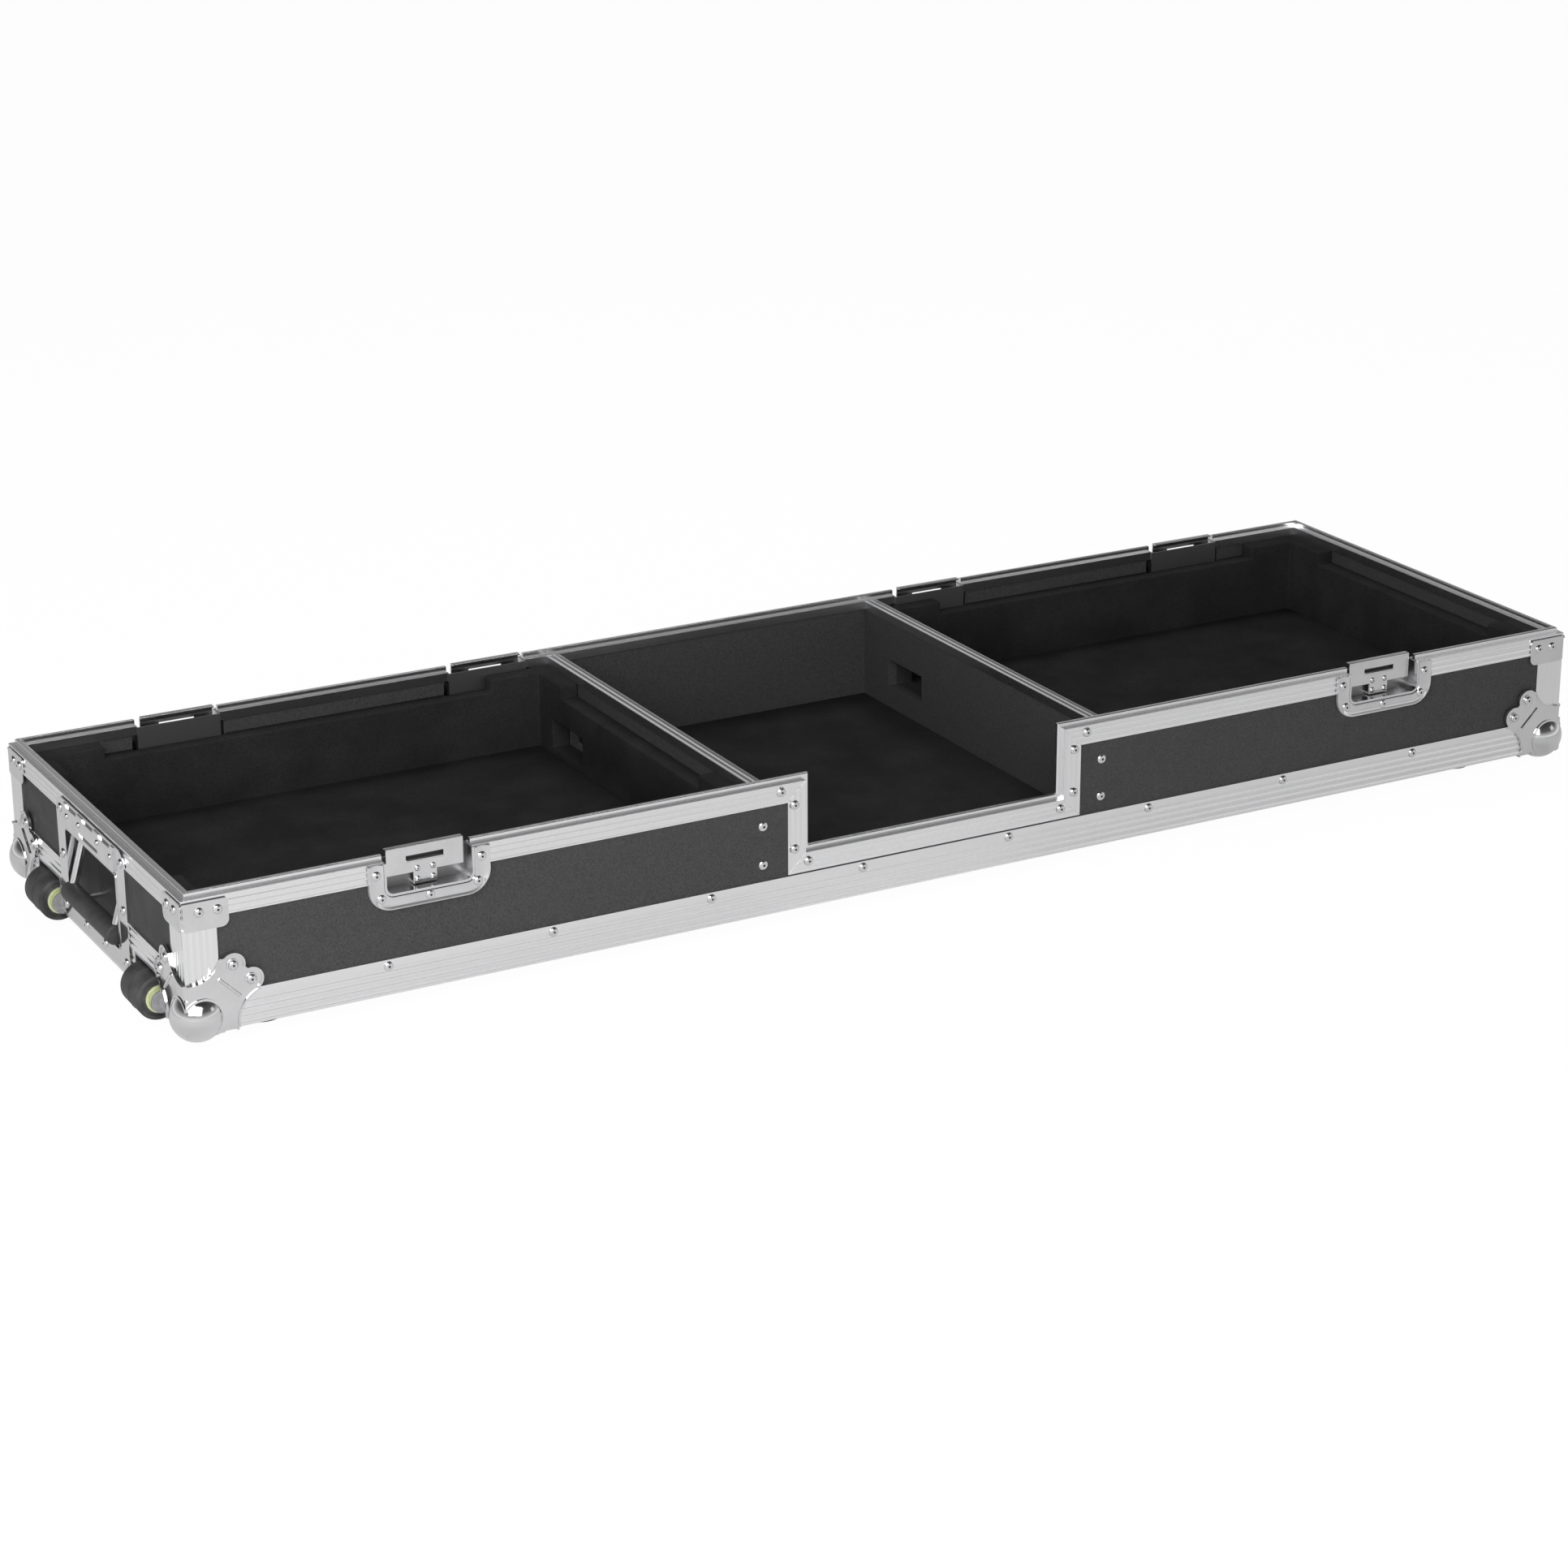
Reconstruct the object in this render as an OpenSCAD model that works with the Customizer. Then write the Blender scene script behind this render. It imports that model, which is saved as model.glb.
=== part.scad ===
// Base of a long flight case with two record player bays and a mixer bay.
// +X runs along the front to the right, +Y to the back, +Z up from the floor under the feet.

/* [Case] */
// Length over the rails, without the wheels
case_len = 1340; // [1320:5:1400]
// Depth over the rails
case_dep = 412; // [408:2:430]
// Height from the underside of the bottom rails to the ledge of the rim
case_hgt = 112; // [110:1:120]
// Thickness of the plywood panels
ply = 9; // [8.5:0.1:9.5]
// Height of the rubber feet
foot_hgt = 18; // [16:0.5:22]
// Radius of the rubber feet
foot_r = 17; // [14:0.5:17]

/* [Bays] */
// Clear width of the mixer bay
mixer_bay = 323; // [310:1:326]
// Thickness of the foam at the two ends of a record player's pocket
liner_end = 17.35; // [16:0.05:20]
// Thickness of the foam in front of a record player's pocket and behind it
liner_side = 18.2; // [17:0.1:22]
// Thickness of the foam under a record player
pad_thk = 24; // [22:0.5:30]
// Thickness of the foam under the mixer
mixer_pad_thk = 10; // [6:1:20]
// Drop of the foam strips below the taller foam corners
liner_drop = 12; // [6:1:16]
// Length of the taller foam corners along each side
block_len = 64; // [50:1:80]
// Width of the cable hole in each divider
cable_wid = 60; // [30:1:80]
// Height of the cable hole in each divider
cable_hgt = 26; // [16:1:30]

/* [Rails] */
// Wall of the aluminium rails
rail_wall = 1.8; // [1.6:0.1:2]
// Width of both flanges of the bottom rails
angle_wid = 30; // [28:0.5:30]
// Width of both flanges of the corner posts
post_wid = 28; // [26:0.5:30]
// Height of the rim's outer flange
rim_drop = 17; // [15:0.5:19]
// Height of the rim's inner flange and of the divider caps
lip_drop = 8; // [6:0.5:10]
// Height of the tongue on the rim
tongue_hgt = 4.5; // [3:0.5:5]
// Thickness of the tongue
tongue_thk = 4; // [3:0.5:4.5]
// Width of the flutes that the rails are drawn with
flute_wid = 4.4; // [3.8:0.1:4.6]
// Depth of those flutes
flute_dep = 0.5; // [0.3:0.1:0.7]

/* [Front cut-out] */
// Width between the outer edges of the cut-out's edging
cut_wid = 287; // [270:1:290]
// Height of the cut-out's edging above the bottom rail
cut_gap = 1.2; // [0.6:0.2:3]

/* [Latches] */
// Distance of a front latch from its end of the case
front_latch = 205; // [195:1:225]
// Distance of an outer back latch from its end of the case
outer_latch = 147; // [135:1:160]
// Distance of an inner back latch from its end of the case
inner_latch = 439; // [420:1:450]
// Width of a latch dish
dish_wid = 104.5; // [100:0.5:110]
// Height of a latch dish below the ledge
dish_drop = 40.5; // [38:0.5:44]
// Width of the band round a latch pocket
dish_band = 14.5; // [13:0.5:16]
// Depth of a latch pocket behind the rail
dish_dep = 13; // [12:0.5:16]
// Width of the keeper plate
keeper_wid = 66; // [60:1:70]
// Length of the hook slot in the keeper
keeper_slot = 32; // [24:1:36]

/* [Handles] */
// Width of the flange of a recessed handle
grab_wid = 163; // [161:1:164]
// Height of that flange
grab_hgt = 104; // [102:0.5:105]
// Width of the handle's pocket
cup_wid = 120; // [118:1:122]
// Height of the handle's pocket
cup_hgt = 64; // [60:1:65]
// Depth of the handle's pocket behind the rail
cup_dep = 24; // [23:0.5:25]
// Radius of the handle's wire
wire_r = 3.5; // [3:0.1:3.6]
// Length of an arm from its pivot to the grip
arm_len = 49; // [46:0.5:50]
// Radius of the rubber grip
grip_r = 8.5; // [7:0.1:9]

/* [Wheels] */
// Radius of the tyres
wheel_r = 18.5; // [17:0.1:19]
// Width of the tyres
wheel_wid = 40; // [36:0.5:42]
// Radius of the axles
axle_r = 4; // [3:0.1:5]
// Distance of a wheel's middle from the long side next to it
wheel_inset = 88; // [86:0.5:88]
// Inner width of a wheel housing
housing_wid = 52; // [50:0.5:53]
// Depth of a wheel housing behind the rail
housing_dep = 46; // [44:1:50]

/* [Corners] */
// Radius of the ball of a corner
ball_r = 21.5; // [19.5:0.1:22]
// Distance of the ball's middle inside each face
ball_in = 12; // [11:0.1:12.5]
// Thickness of the corner's sheet steel
leg_thk = 1.5; // [1.2:0.1:2]
// Width of a top corner bracket along each face
bracket_wid = 38; // [34:0.5:42]
// Height of a top corner bracket
bracket_hgt = 23; // [20:0.5:26]

/* [Hidden] */
$fn = 48;
half_len = case_len / 2;
half_dep = case_dep / 2;
// Running clearance of the hinges and the axles, on the radius
play = 0.05;
// Clearance between pieces that are slipped together
slip = 0.2;
// Overshoot of a cutting tool past the face that it cuts
cut = 1;
// Depth of the wall behind the outer face of a rail
wall = rail_wall + ply;
// Width of the rim across the panel that it holds
rim_wid = 2 * rail_wall + ply + slip;
// Distance of the tongue from the outer face of the rim
tongue_in = 4.5;
// Top of the floor panel above the underside of the rails
floor_top = rail_wall + ply;
// Top of the foam round the record players
liner_top = case_hgt - lip_drop;
// Underside of the wheel notch strips, and the height of those strips
strip_low = angle_wid;
strip_hgt = 19;
// Faces of the cut-out's edging: ledges and underside
cut_half = cut_wid / 2;
cut_ledge = cut_half - rim_drop;
cut_low = angle_wid + cut_gap;
cut_sill = cut_low + rim_drop;
// Distance between the bottom rails' rivets, and how many a long side has
rivet_pitch = 143.5;
rivet_row = 8;
rivet_v = 24.4;
rivet_r = 4.1;
rivet_hgt = 2;
small_r = 2.6;
small_hgt = 1.6;
// Flutes on a divider's cap, from its middle
cap_flute = 2.6;
// Sheet steel of the dishes, and the bead round their pockets
sheet = 1.2;
bead = 0.8;
// Corners of the dishes' outlines
dish_round = 20;
pocket_round = 7;
grab_round = 12;
cup_round = 3;
// Height of the latch pocket's floor, of the keeper plate's lower edge and of its top
pocket_low = case_hgt - dish_drop + dish_band - 2;
keeper_drop = 16;
keeper_low = case_hgt - keeper_drop;
keeper_top = case_hgt + tongue_hgt + 2;
keeper_thk = 1.6;
keeper_in = 7;
tab_wid = 20;
// Notches along the top of an end keeper
notch_pitch = 40;
notch_wid = 26;
notch_dep = 2.5;
// Room in the boards round the pocket of a latch dish
board_gap = 4;
slot_low = case_hgt - 5;
slot_hgt = 3.5;
// Recessed handle: underside of flange and pocket, and the pivot's place
grab_low = 4;
cup_low = 20;
pivot_v = cup_low + cup_hgt - 6;
pivot_in = 11;
// Torsion springs beside the arms: the wire's radius, the coil's radius and its gaps
coil_wire = 0.5;
coil_r = wire_r + 0.7 + coil_wire;
coil_turns = 2.25;
coil_rings = 8;
coil_sides = 6;
coil_pitch = 1.5;
coil_gap = 0.5;
coil_leg = 16;
coil_room = 2 * coil_gap + 2 * coil_wire + coil_pitch * coil_turns;
// Middles of the arms, their lean at rest, and half the grip's length
arm_at = cup_wid / 2 - coil_room - wire_r;
arm_lean = 16;
grip_half = arm_at + 5;
// Gap round an arm where it enters the grip
slot_gap = 0.25;
// Wheels: the axle's place, the hub's radius and its reach past the tyre
axle_v = 6.5;
axle_in = 2;
hub_r = 11.5;
hub_half = housing_wid / 2 - 0.5;
bush_wall = 1.5;
ear_r = 9.5;
housing_wall = 2;
// Ball corners: rivet lobes along and across the diagonal of a face
lobe_mid = 45.8;
lobe_side = 7.2;
lobe_r = 10;
carve_r = 26;
carve_at = [4, 68];
lobe_edge = 1.2;
// Ring round the foot of the ball on a leg
ring_r = sqrt(pow(ball_r, 2) - pow(ball_in + leg_thk, 2)) + 1.2;
ring_hgt = 0.8;
// Joint between the two halves of the front board
board_seam = 0.2;
// Rib across a leg, and washers under its rivets
rib_at = 35;
rib_wid = 2.8;
rib_len = 24;
washer_r = 5.2;
washer_thk = 0.7;
// Depth of the slit along the edge behind a top corner bracket
slit_in = rail_wall - 0.6;
slit_half = 1;
bracket_low = case_hgt - 3 - bracket_hgt;
// Cable holes: distance from the back panel and from the foam under a record player
cable_in = 45;
cable_up = 6;
// Feet: distance from the ends and from the long sides
foot_x = 80;
foot_y = 54;
// Reach past the ends, and what puts the middle of the overall length at x = 0
grip_reach = arm_len * sin(arm_lean) - pivot_in + grip_r;
left_reach = max(grip_reach, wheel_r - axle_in, ball_r - ball_in);
right_reach = max(grip_reach, ball_r - ball_in);
mid_x = (left_reach - right_reach) / 2;

aluminium = [0.82, 0.82, 0.84];
chrome = [0.88, 0.88, 0.9];
laminate = [0.2, 0.2, 0.21];
foam = [0.13, 0.13, 0.14];
rubber = [0.16, 0.16, 0.17];
nylon = [0.88, 0.9, 0.74];

// Frames of the four sides: x to the right as seen from outside, y up from the underside of
// the rails, z out of the outer face of the rails
module on_side(turn, reach) {
    centred() rotate([0, 0, turn]) translate([0, -reach, foot_hgt]) rotate([90, 0, 0]) children();
}
module centred() { translate([mid_x, 0, 0]) children(); }
module on_front() { on_side(0, half_dep) children(); }
module on_back() { on_side(180, half_dep) children(); }
module on_left() { on_side(-90, half_len) children(); }
module on_right() { on_side(90, half_len) children(); }

// A box between two corners
module box(low, high) { translate(low) cube(high - low); }

// A rectangle between two corners with its own radius at the bottom and the top
module plate_outline(low, high, low_r, top_r) {
    difference() {
        translate(low) square(high - low);
        for (side = [0, 1]) {
            corner_cut([side ? high.x : low.x, low.y], [side ? -1 : 1, 1], low_r);
            corner_cut([side ? high.x : low.x, high.y], [side ? -1 : 1, -1], top_r);
        }
    }
}

// What rounding one corner of an outline takes away
module corner_cut(at, way, r) {
    if (r > 0) translate(at) difference() {
        polygon([[-way.x * cut, -way.y * cut], [way.x * r, -way.y * cut],
                 [way.x * r, 0], [way.x * r, way.y * r], [0, way.y * r],
                 [-way.x * cut, way.y * r]]);
        translate([way.x * r, way.y * r]) circle(r);
    }
}

// Flutes in a face along y, as a section: x into the metal, round and shallow
flute_r = (flute_wid * flute_wid / 4 + flute_dep * flute_dep) / (2 * flute_dep);
module flutes(first, pitch, count) {
    for (i = [0 : count - 1]) translate([flute_dep - flute_r, first + i * pitch]) circle(flute_r);
}

// Section of the rim: x into the case from its outer face, y up from its ledge
module rim_section() {
    difference() {
        union() {
            translate([0, -rim_drop]) square([rail_wall, rim_drop]);
            translate([0, -rail_wall]) square([rim_wid, rail_wall]);
            translate([rim_wid - rail_wall, -lip_drop]) square([rail_wall, lip_drop]);
            translate([tongue_in, -cut]) square([tongue_thk, tongue_hgt + cut]);
        }
        flutes(-rim_drop + 3.2, 5.1, 3);
        for (side = [0, 1]) translate([tongue_in + side * tongue_thk, tongue_hgt])
            rotate(45) square(0.8, center = true);
    }
}

// Section of the bottom angles: x into the case, y up from their underside
module angle_section(wide, tall) {
    difference() {
        union() {
            square([rail_wall, tall]);
            square([wide, rail_wall]);
        }
        flutes(4.2, 5.8, 4);
    }
}

// A section run along x on a side's frame, its height along y and its depth into the case
module run(length) { rotate([0, 90, 0]) linear_extrude(length) children(); }

// What a side keeps of its rails when their ends are mitred in plan
module mitre_plan(reach, low, high) {
    deep = 60;
    translate([0, high, 0]) rotate([90, 0, 0]) linear_extrude(high - low)
        polygon([[-reach - cut, cut], [reach + cut, cut], [reach - deep, -deep], [deep - reach, -deep]]);
}

// The recess that a latch dish needs through the rim, the panel and the foam
module latch_bay(gap = 0) {
    half = dish_wid / 2 - dish_band + gap;
    box([-half, pocket_low - sheet - gap, -dish_dep - sheet], [half, case_hgt + tongue_hgt + cut, cut]);
}
module front_latches() {
    for (side = [-1, 1]) translate([side * (half_len - front_latch), 0, 0]) children();
}
module back_latches() {
    for (side = [-1, 1]) {
        translate([side * (half_len - outer_latch), 0, 0]) children();
        translate([side * (half_len - inner_latch), 0, 0]) children();
    }
}

// The recess that a handle's pocket needs through the panel and the foam
module grab_bay() {
    box([-cup_wid / 2 - sheet, cup_low - sheet, -cup_dep - sheet],
        [cup_wid / 2 + sheet, cup_low + cup_hgt + sheet, cut]);
}

// The two notches for the wheels, in the frame of the left end
module wheel_places() {
    for (side = [-1, 1]) translate([side * (half_dep - wheel_inset), 0, 0]) children();
}
module wheel_bays() {
    half = housing_wid / 2 + housing_wall;
    wheel_places() box([-half, -cut, -housing_dep - cut + 1], [half, angle_wid, cut]);
}

// Panels of laminated plywood
module floor_panel() {
    color(laminate) difference() {
        centred() translate([0, 0, foot_hgt + rail_wall + ply / 2])
            cube([case_len - 2 * rail_wall, case_dep - 2 * rail_wall, ply], center = true);
        on_left() wheel_bays();
    }
}

module side_panel(length) {
    box([-length / 2, floor_top, -wall], [length / 2, case_hgt - rail_wall, -rail_wall]);
}

// The front board is two halves, which meet under the middle of the cut-out
module front_panel() {
    color(laminate) on_front() difference() {
        side_panel(case_len - 2 * rail_wall);
        front_latches() latch_bay(board_gap);
        box([-board_seam / 2, 0, -wall - cut], [board_seam / 2, cut_sill, cut]);
        box([-cut_ledge - rail_wall, cut_sill - rail_wall, -wall - cut],
            [cut_ledge + rail_wall, case_hgt, cut]);
    }
}

module back_panel() {
    color(laminate) on_back() difference() {
        side_panel(case_len - 2 * rail_wall);
        back_latches() latch_bay(board_gap);
    }
}

module left_end_panel() {
    color(laminate) on_left() difference() {
        side_panel(case_dep - 2 * wall);
        grab_bay();
        wheel_bays();
    }
}

module right_end_panel() {
    color(laminate) on_right() difference() {
        side_panel(case_dep - 2 * wall);
        grab_bay();
    }
}

// Hole for cables near the back of a divider, also through the foam beside it
module cable_hole() {
    translate([-4 * ply, half_dep - wall - cable_in - cable_wid, foot_hgt + floor_top + pad_thk + cable_up])
        cube([5 * ply + cut, cable_wid, cable_hgt]);
}

module divider() {
    difference() {
        translate([0, 0, foot_hgt])
            box([0, -half_dep + wall, floor_top], [ply, half_dep - wall, case_hgt - rail_wall]);
        translate([0, 0, foot_hgt]) for (side = [-1, 1]) translate([0, side * (half_dep - wall), 0])
            box([-cut, -rail_wall - 2 * slip, liner_top - slip],
                [ply + cut, rail_wall + 2 * slip, case_hgt]);
        cable_hole();
    }
}
module at_divider(side) {
    centred() mirror([side, 0, 0]) translate([-mixer_bay / 2 - ply, 0, 0]) children();
}
module left_divider() { color(laminate) at_divider(0) divider(); }
module right_divider() { color(laminate) at_divider(1) divider(); }

// Ribbed aluminium cap along the top of a divider
module divider_cap() {
    reach = half_dep - rim_wid - slip;
    translate([ply / 2, reach, foot_hgt + case_hgt]) rotate([90, 0, 0])
        linear_extrude(2 * reach) difference() {
            half = ply / 2 + rail_wall;
            translate([-half, -lip_drop]) square([2 * half, lip_drop]);
            translate([-ply / 2, -lip_drop - cut]) square([ply, lip_drop + cut - rail_wall]);
            rotate(-90) flutes(-cap_flute, 2 * cap_flute, 2);
        }
}
module left_divider_cap() { color(aluminium) at_divider(0) divider_cap(); }
module right_divider_cap() { color(aluminium) at_divider(1) divider_cap(); }

// Bottom rails: ridged angles, mitred under the corners
module bottom_rail(reach) {
    intersection() {
        translate([-reach, 0, 0]) run(2 * reach) angle_section(angle_wid, angle_wid);
        mitre_plan(reach, -cut, angle_wid + cut);
    }
}
module front_bottom_rail() { color(aluminium) on_front() bottom_rail(half_len); }
module back_bottom_rail() { color(aluminium) on_back() bottom_rail(half_len); }
module right_bottom_rail() {
    color(aluminium) on_right() difference() {
        bottom_rail(half_dep);
        grab_bay();
    }
}
module left_bottom_rail() {
    color(aluminium) on_left() difference() {
        bottom_rail(half_dep);
        grab_bay();
        wheel_bays();
    }
}

// Strips that edge the end panel above the wheels
module wheel_notch_strips() {
    near = cup_wid / 2 + sheet;
    color(aluminium) on_left() for (side = [0, 1]) mirror([side, 0, 0])
        translate([near, strip_low, -rail_wall]) difference() {
            cube([half_dep - post_wid - near, strip_hgt, rail_wall]);
            translate([-cut, 0, rail_wall]) run(half_dep) flutes(3.6, 5.9, 3);
        }
}

// Corner posts: ridged angles between the bottom rails and the rim
module corner_post() {
    tall = case_hgt - rim_drop - angle_wid;
    translate([0, 0, foot_hgt + angle_wid]) linear_extrude(tall) difference() {
        union() {
            square([post_wid, rail_wall]);
            square([rail_wall, post_wid]);
        }
        flutes(5.4, 5.2, 4);
        mirror([1, -1]) flutes(5.4, 5.2, 4);
    }
}
// A corner post, cut back where it shows through the bracket's slit
module slit_post() {
    difference() {
        corner_post();
        translate([0, 0, foot_hgt]) box([-cut, -cut, bracket_low + 2], [slit_in, slit_in, case_hgt]);
    }
}
module at_corner(side, depth) {
    centred() mirror([side, 0, 0]) mirror([0, depth, 0]) translate([-half_len, -half_dep, 0]) children();
}
module corner_posts() {
    color(aluminium) for (side = [0, 1], depth = [0, 1]) at_corner(side, depth) slit_post();
}

// Rim: a U-section over the panels with a tongue for the lid
module rim(reach) {
    difference() {
        intersection() {
            translate([-reach, case_hgt, 0]) run(2 * reach) rim_section();
            mitre_plan(reach, case_hgt - rim_drop - cut, case_hgt + tongue_hgt + cut);
        }
        for (side = [0, 1]) mirror([side, 0, 0])
            box([reach - slit_in, bracket_low, -slit_in], [reach + cut, case_hgt - 5, cut]);
    }
}
// The part of the front on one side of the diagonal mitres at the top of the cut-out
module beside_cutout() {
    top = case_hgt + tongue_hgt + cut;
    low = case_hgt - rim_drop - cut;
    tip = cut_ledge - tongue_hgt - cut;
    translate([0, 0, -rim_wid - cut]) linear_extrude(rim_wid + 2 * cut)
        polygon([[-half_len - cut, low], [-cut_half - cut, low], [-tip, top], [-half_len - cut, top]]);
}
module front_top_rail() {
    difference() {
        intersection() {
            rim(half_len);
            beside_cutout();
        }
        front_latches() latch_bay();
    }
}
module front_left_top_rail() { color(aluminium) on_front() front_top_rail(); }
module front_right_top_rail() { color(aluminium) on_front() mirror([1, 0, 0]) front_top_rail(); }
module back_top_rail() {
    color(aluminium) on_back() difference() {
        rim(half_len);
        back_latches() latch_bay();
    }
}
module left_top_rail() { color(aluminium) on_left() rim(half_dep); }
module right_top_rail() { color(aluminium) on_right() rim(half_dep); }

// Edging of the cut-out: the same section, mitred at its corners
module cutout_upright() {
    top = case_hgt;
    intersection() {
        translate([-cut_ledge, top + tongue_hgt, 0]) rotate([0, 0, -90])
            run(top + tongue_hgt) rim_section();
        translate([0, 0, -rim_wid - cut]) linear_extrude(rim_wid + 2 * cut)
            polygon([[-cut_half, cut_low], [-cut_ledge + tongue_hgt, cut_sill + tongue_hgt],
                     [-cut_ledge + tongue_hgt, top + tongue_hgt], [-cut_half, top - rim_drop]]);
    }
}
module cutout_left_rail() { color(aluminium) on_front() cutout_upright(); }
module cutout_right_rail() { color(aluminium) on_front() mirror([1, 0, 0]) cutout_upright(); }
module cutout_bottom_rail() {
    tip = cut_ledge - tongue_hgt;
    color(aluminium) on_front() intersection() {
        translate([-cut_half, cut_sill, 0]) run(cut_wid) rim_section();
        translate([0, 0, -rim_wid - cut]) linear_extrude(rim_wid + 2 * cut)
            polygon([[-cut_half, cut_low], [cut_half, cut_low],
                     [tip, cut_sill + tongue_hgt], [-tip, cut_sill + tongue_hgt]]);
    }
}

// Ball corner: x, y and z run along the case's edges from the corner
module leg_outline(inset = 0) {
    far = lobe_mid + lobe_side + 7 - 1.4 * inset;
    near = lobe_mid - lobe_side;
    difference() {
        union() {
            polygon([[-leg_thk, -leg_thk], [far, -leg_thk], [far, near], [near, far], [-leg_thk, far]]);
            for (way = [-1, 1]) translate([lobe_mid + way * lobe_side, lobe_mid - way * lobe_side])
                circle(lobe_r - inset);
        }
        translate(carve_at) circle(carve_r + inset);
        translate([carve_at.y, carve_at.x]) circle(carve_r + inset);
        translate([-2 * leg_thk, carve_at.y - carve_r]) square([carve_at.x + 2 * leg_thk, far]);
        translate([carve_at.y - carve_r, -2 * leg_thk]) square([far, carve_at.x + 2 * leg_thk]);
    }
}
// One leg, lying on the face z = 0 with the case above it
module leg() {
    translate([0, 0, -leg_thk]) linear_extrude(leg_thk) leg_outline();
    translate([0, 0, -leg_thk - lobe_edge]) linear_extrude(lobe_edge + leg_thk / 2) difference() {
        leg_outline();
        leg_outline(lobe_edge + 0.4);
        translate([-carve_r, -carve_r]) square(2 * carve_r);
    }
    intersection() {
        translate([ball_in, ball_in, -leg_thk - ring_hgt])
            cylinder(r = ring_r, h = ring_hgt + leg_thk / 2);
        translate([0, 0, -leg_thk - 2 * ring_hgt]) linear_extrude(3 * ring_hgt) leg_outline();
    }
    translate([rib_at, rib_at, -leg_thk]) rotate([0, 0, 45]) rotate([90, 0, 0])
        cylinder(d = rib_wid, h = rib_len, center = true);
}
module ball_corner() {
    reach = 90;
    translate([0, 0, foot_hgt]) difference() {
        union() {
            translate([ball_in, ball_in, ball_in]) sphere(ball_r);
            leg();
            rotate([90, 0, 0]) mirror([0, 0, 1]) leg();
            rotate([0, -90, 0]) mirror([0, 0, 1]) leg();
        }
        cube(reach);
        // Slits between the legs along the three edges
        for (i = [0 : 2]) rotate(i == 0 ? [0, 0, 0] : i == 1 ? [90, 0, 90] : [0, -90, -90])
            translate([-2 * leg_thk, -2 * leg_thk, ball_in + ball_r - 4])
                cube([2 * leg_thk + 0.8, 2 * leg_thk + 0.8, reach]);
    }
}
module front_left_ball_corner() { color(chrome) at_corner(0, 0) ball_corner(); }
module front_right_ball_corner() { color(chrome) at_corner(1, 0) ball_corner(); }
module back_left_ball_corner() { color(chrome) at_corner(0, 1) ball_corner(); }
module back_right_ball_corner() { color(chrome) at_corner(1, 1) ball_corner(); }

// Top corner brackets: bent plates with a slit along the bend
module bracket_face() {
    linear_extrude(sheet) plate_outline([-sheet, bracket_low], [bracket_wid, case_hgt - 3], 6, 3);
}
module top_corner_bracket() {
    translate([0, 0, foot_hgt]) difference() {
        union() {
            rotate([90, 0, 0]) bracket_face();
            rotate([0, 0, -90]) mirror([1, 0, 0]) rotate([90, 0, 0]) bracket_face();
        }
        translate([-2 * sheet, -2 * sheet, bracket_low + 2])
            cube([2 * sheet + slit_half, 2 * sheet + slit_half, bracket_hgt - 4]);
        cube([bracket_wid + cut, bracket_wid + cut, case_hgt]);
    }
}
module top_corner_brackets() {
    color(chrome) for (side = [0, 1], depth = [0, 1]) at_corner(side, depth) top_corner_bracket();
}

// Latch dish: a band on the face round a pocket that is open to the front and the top
module dish_outline(inset) {
    plate_outline([-dish_wid / 2 + inset, case_hgt - dish_drop + inset],
                  [dish_wid / 2 - inset, case_hgt - 1], dish_round - inset, 0);
}
module pocket_outline(grow) {
    half = dish_wid / 2 - dish_band + grow;
    plate_outline([-half, pocket_low - grow], [half, case_hgt + 2 * cut], pocket_round + grow, 0);
}
module latch_dish() {
    difference() {
        union() {
            linear_extrude(sheet) dish_outline(0);
            // The edge turned in to meet the panel below the rim
            translate([0, 0, -rail_wall]) linear_extrude(rail_wall) difference() {
                dish_outline(0);
                dish_outline(sheet);
                translate([-dish_wid, case_hgt - rim_drop]) square(2 * dish_wid);
            }
            // The bead round the pocket's mouth
            linear_extrude(sheet + bead) intersection() {
                pocket_outline(bead);
                translate([-dish_wid, 0]) square([2 * dish_wid, case_hgt - 1]);
            }
            translate([0, 0, -dish_dep - sheet]) linear_extrude(dish_dep + sheet)
                intersection() {
                    pocket_outline(0);
                    translate([-dish_wid, 0]) square([2 * dish_wid, case_hgt - 1]);
                }
        }
        translate([0, 0, -dish_dep]) linear_extrude(dish_dep + 3 * sheet) pocket_outline(-sheet);
    }
}
module front_latch_dishes() { color(chrome) on_front() front_latches() latch_dish(); }
module back_latch_dishes() { color(chrome) on_back() back_latches() latch_dish(); }

// Keeper: a plate with a hook slot, on a foot riveted to the pocket's back
module latch_keeper() {
    half = keeper_wid / 2;
    difference() {
        union() {
            box([-half, keeper_low, -keeper_in - keeper_thk], [half, keeper_top, -keeper_in]);
            box([-tab_wid / 2, pocket_low + 2, -keeper_in - keeper_thk],
                [tab_wid / 2, keeper_low + cut, -keeper_in]);
            box([-tab_wid / 2, pocket_low + 2, -dish_dep],
                [tab_wid / 2, pocket_low + 2 + keeper_thk, -keeper_in]);
            box([-half, keeper_top - keeper_thk, -dish_dep], [half, keeper_top, -keeper_in]);
            box([-keeper_slot / 2, slot_low - keeper_thk, -keeper_in - cut],
                [keeper_slot / 2, slot_low, -keeper_in + keeper_thk]);
        }
        box([-keeper_slot / 2, slot_low, -keeper_in - keeper_thk - cut],
            [keeper_slot / 2, slot_low + slot_hgt, -keeper_in + cut]);
    }
}
module latch_keepers() {
    color(chrome) {
        on_front() front_latches() latch_keeper();
        on_back() back_latches() latch_keeper();
    }
}

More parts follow.
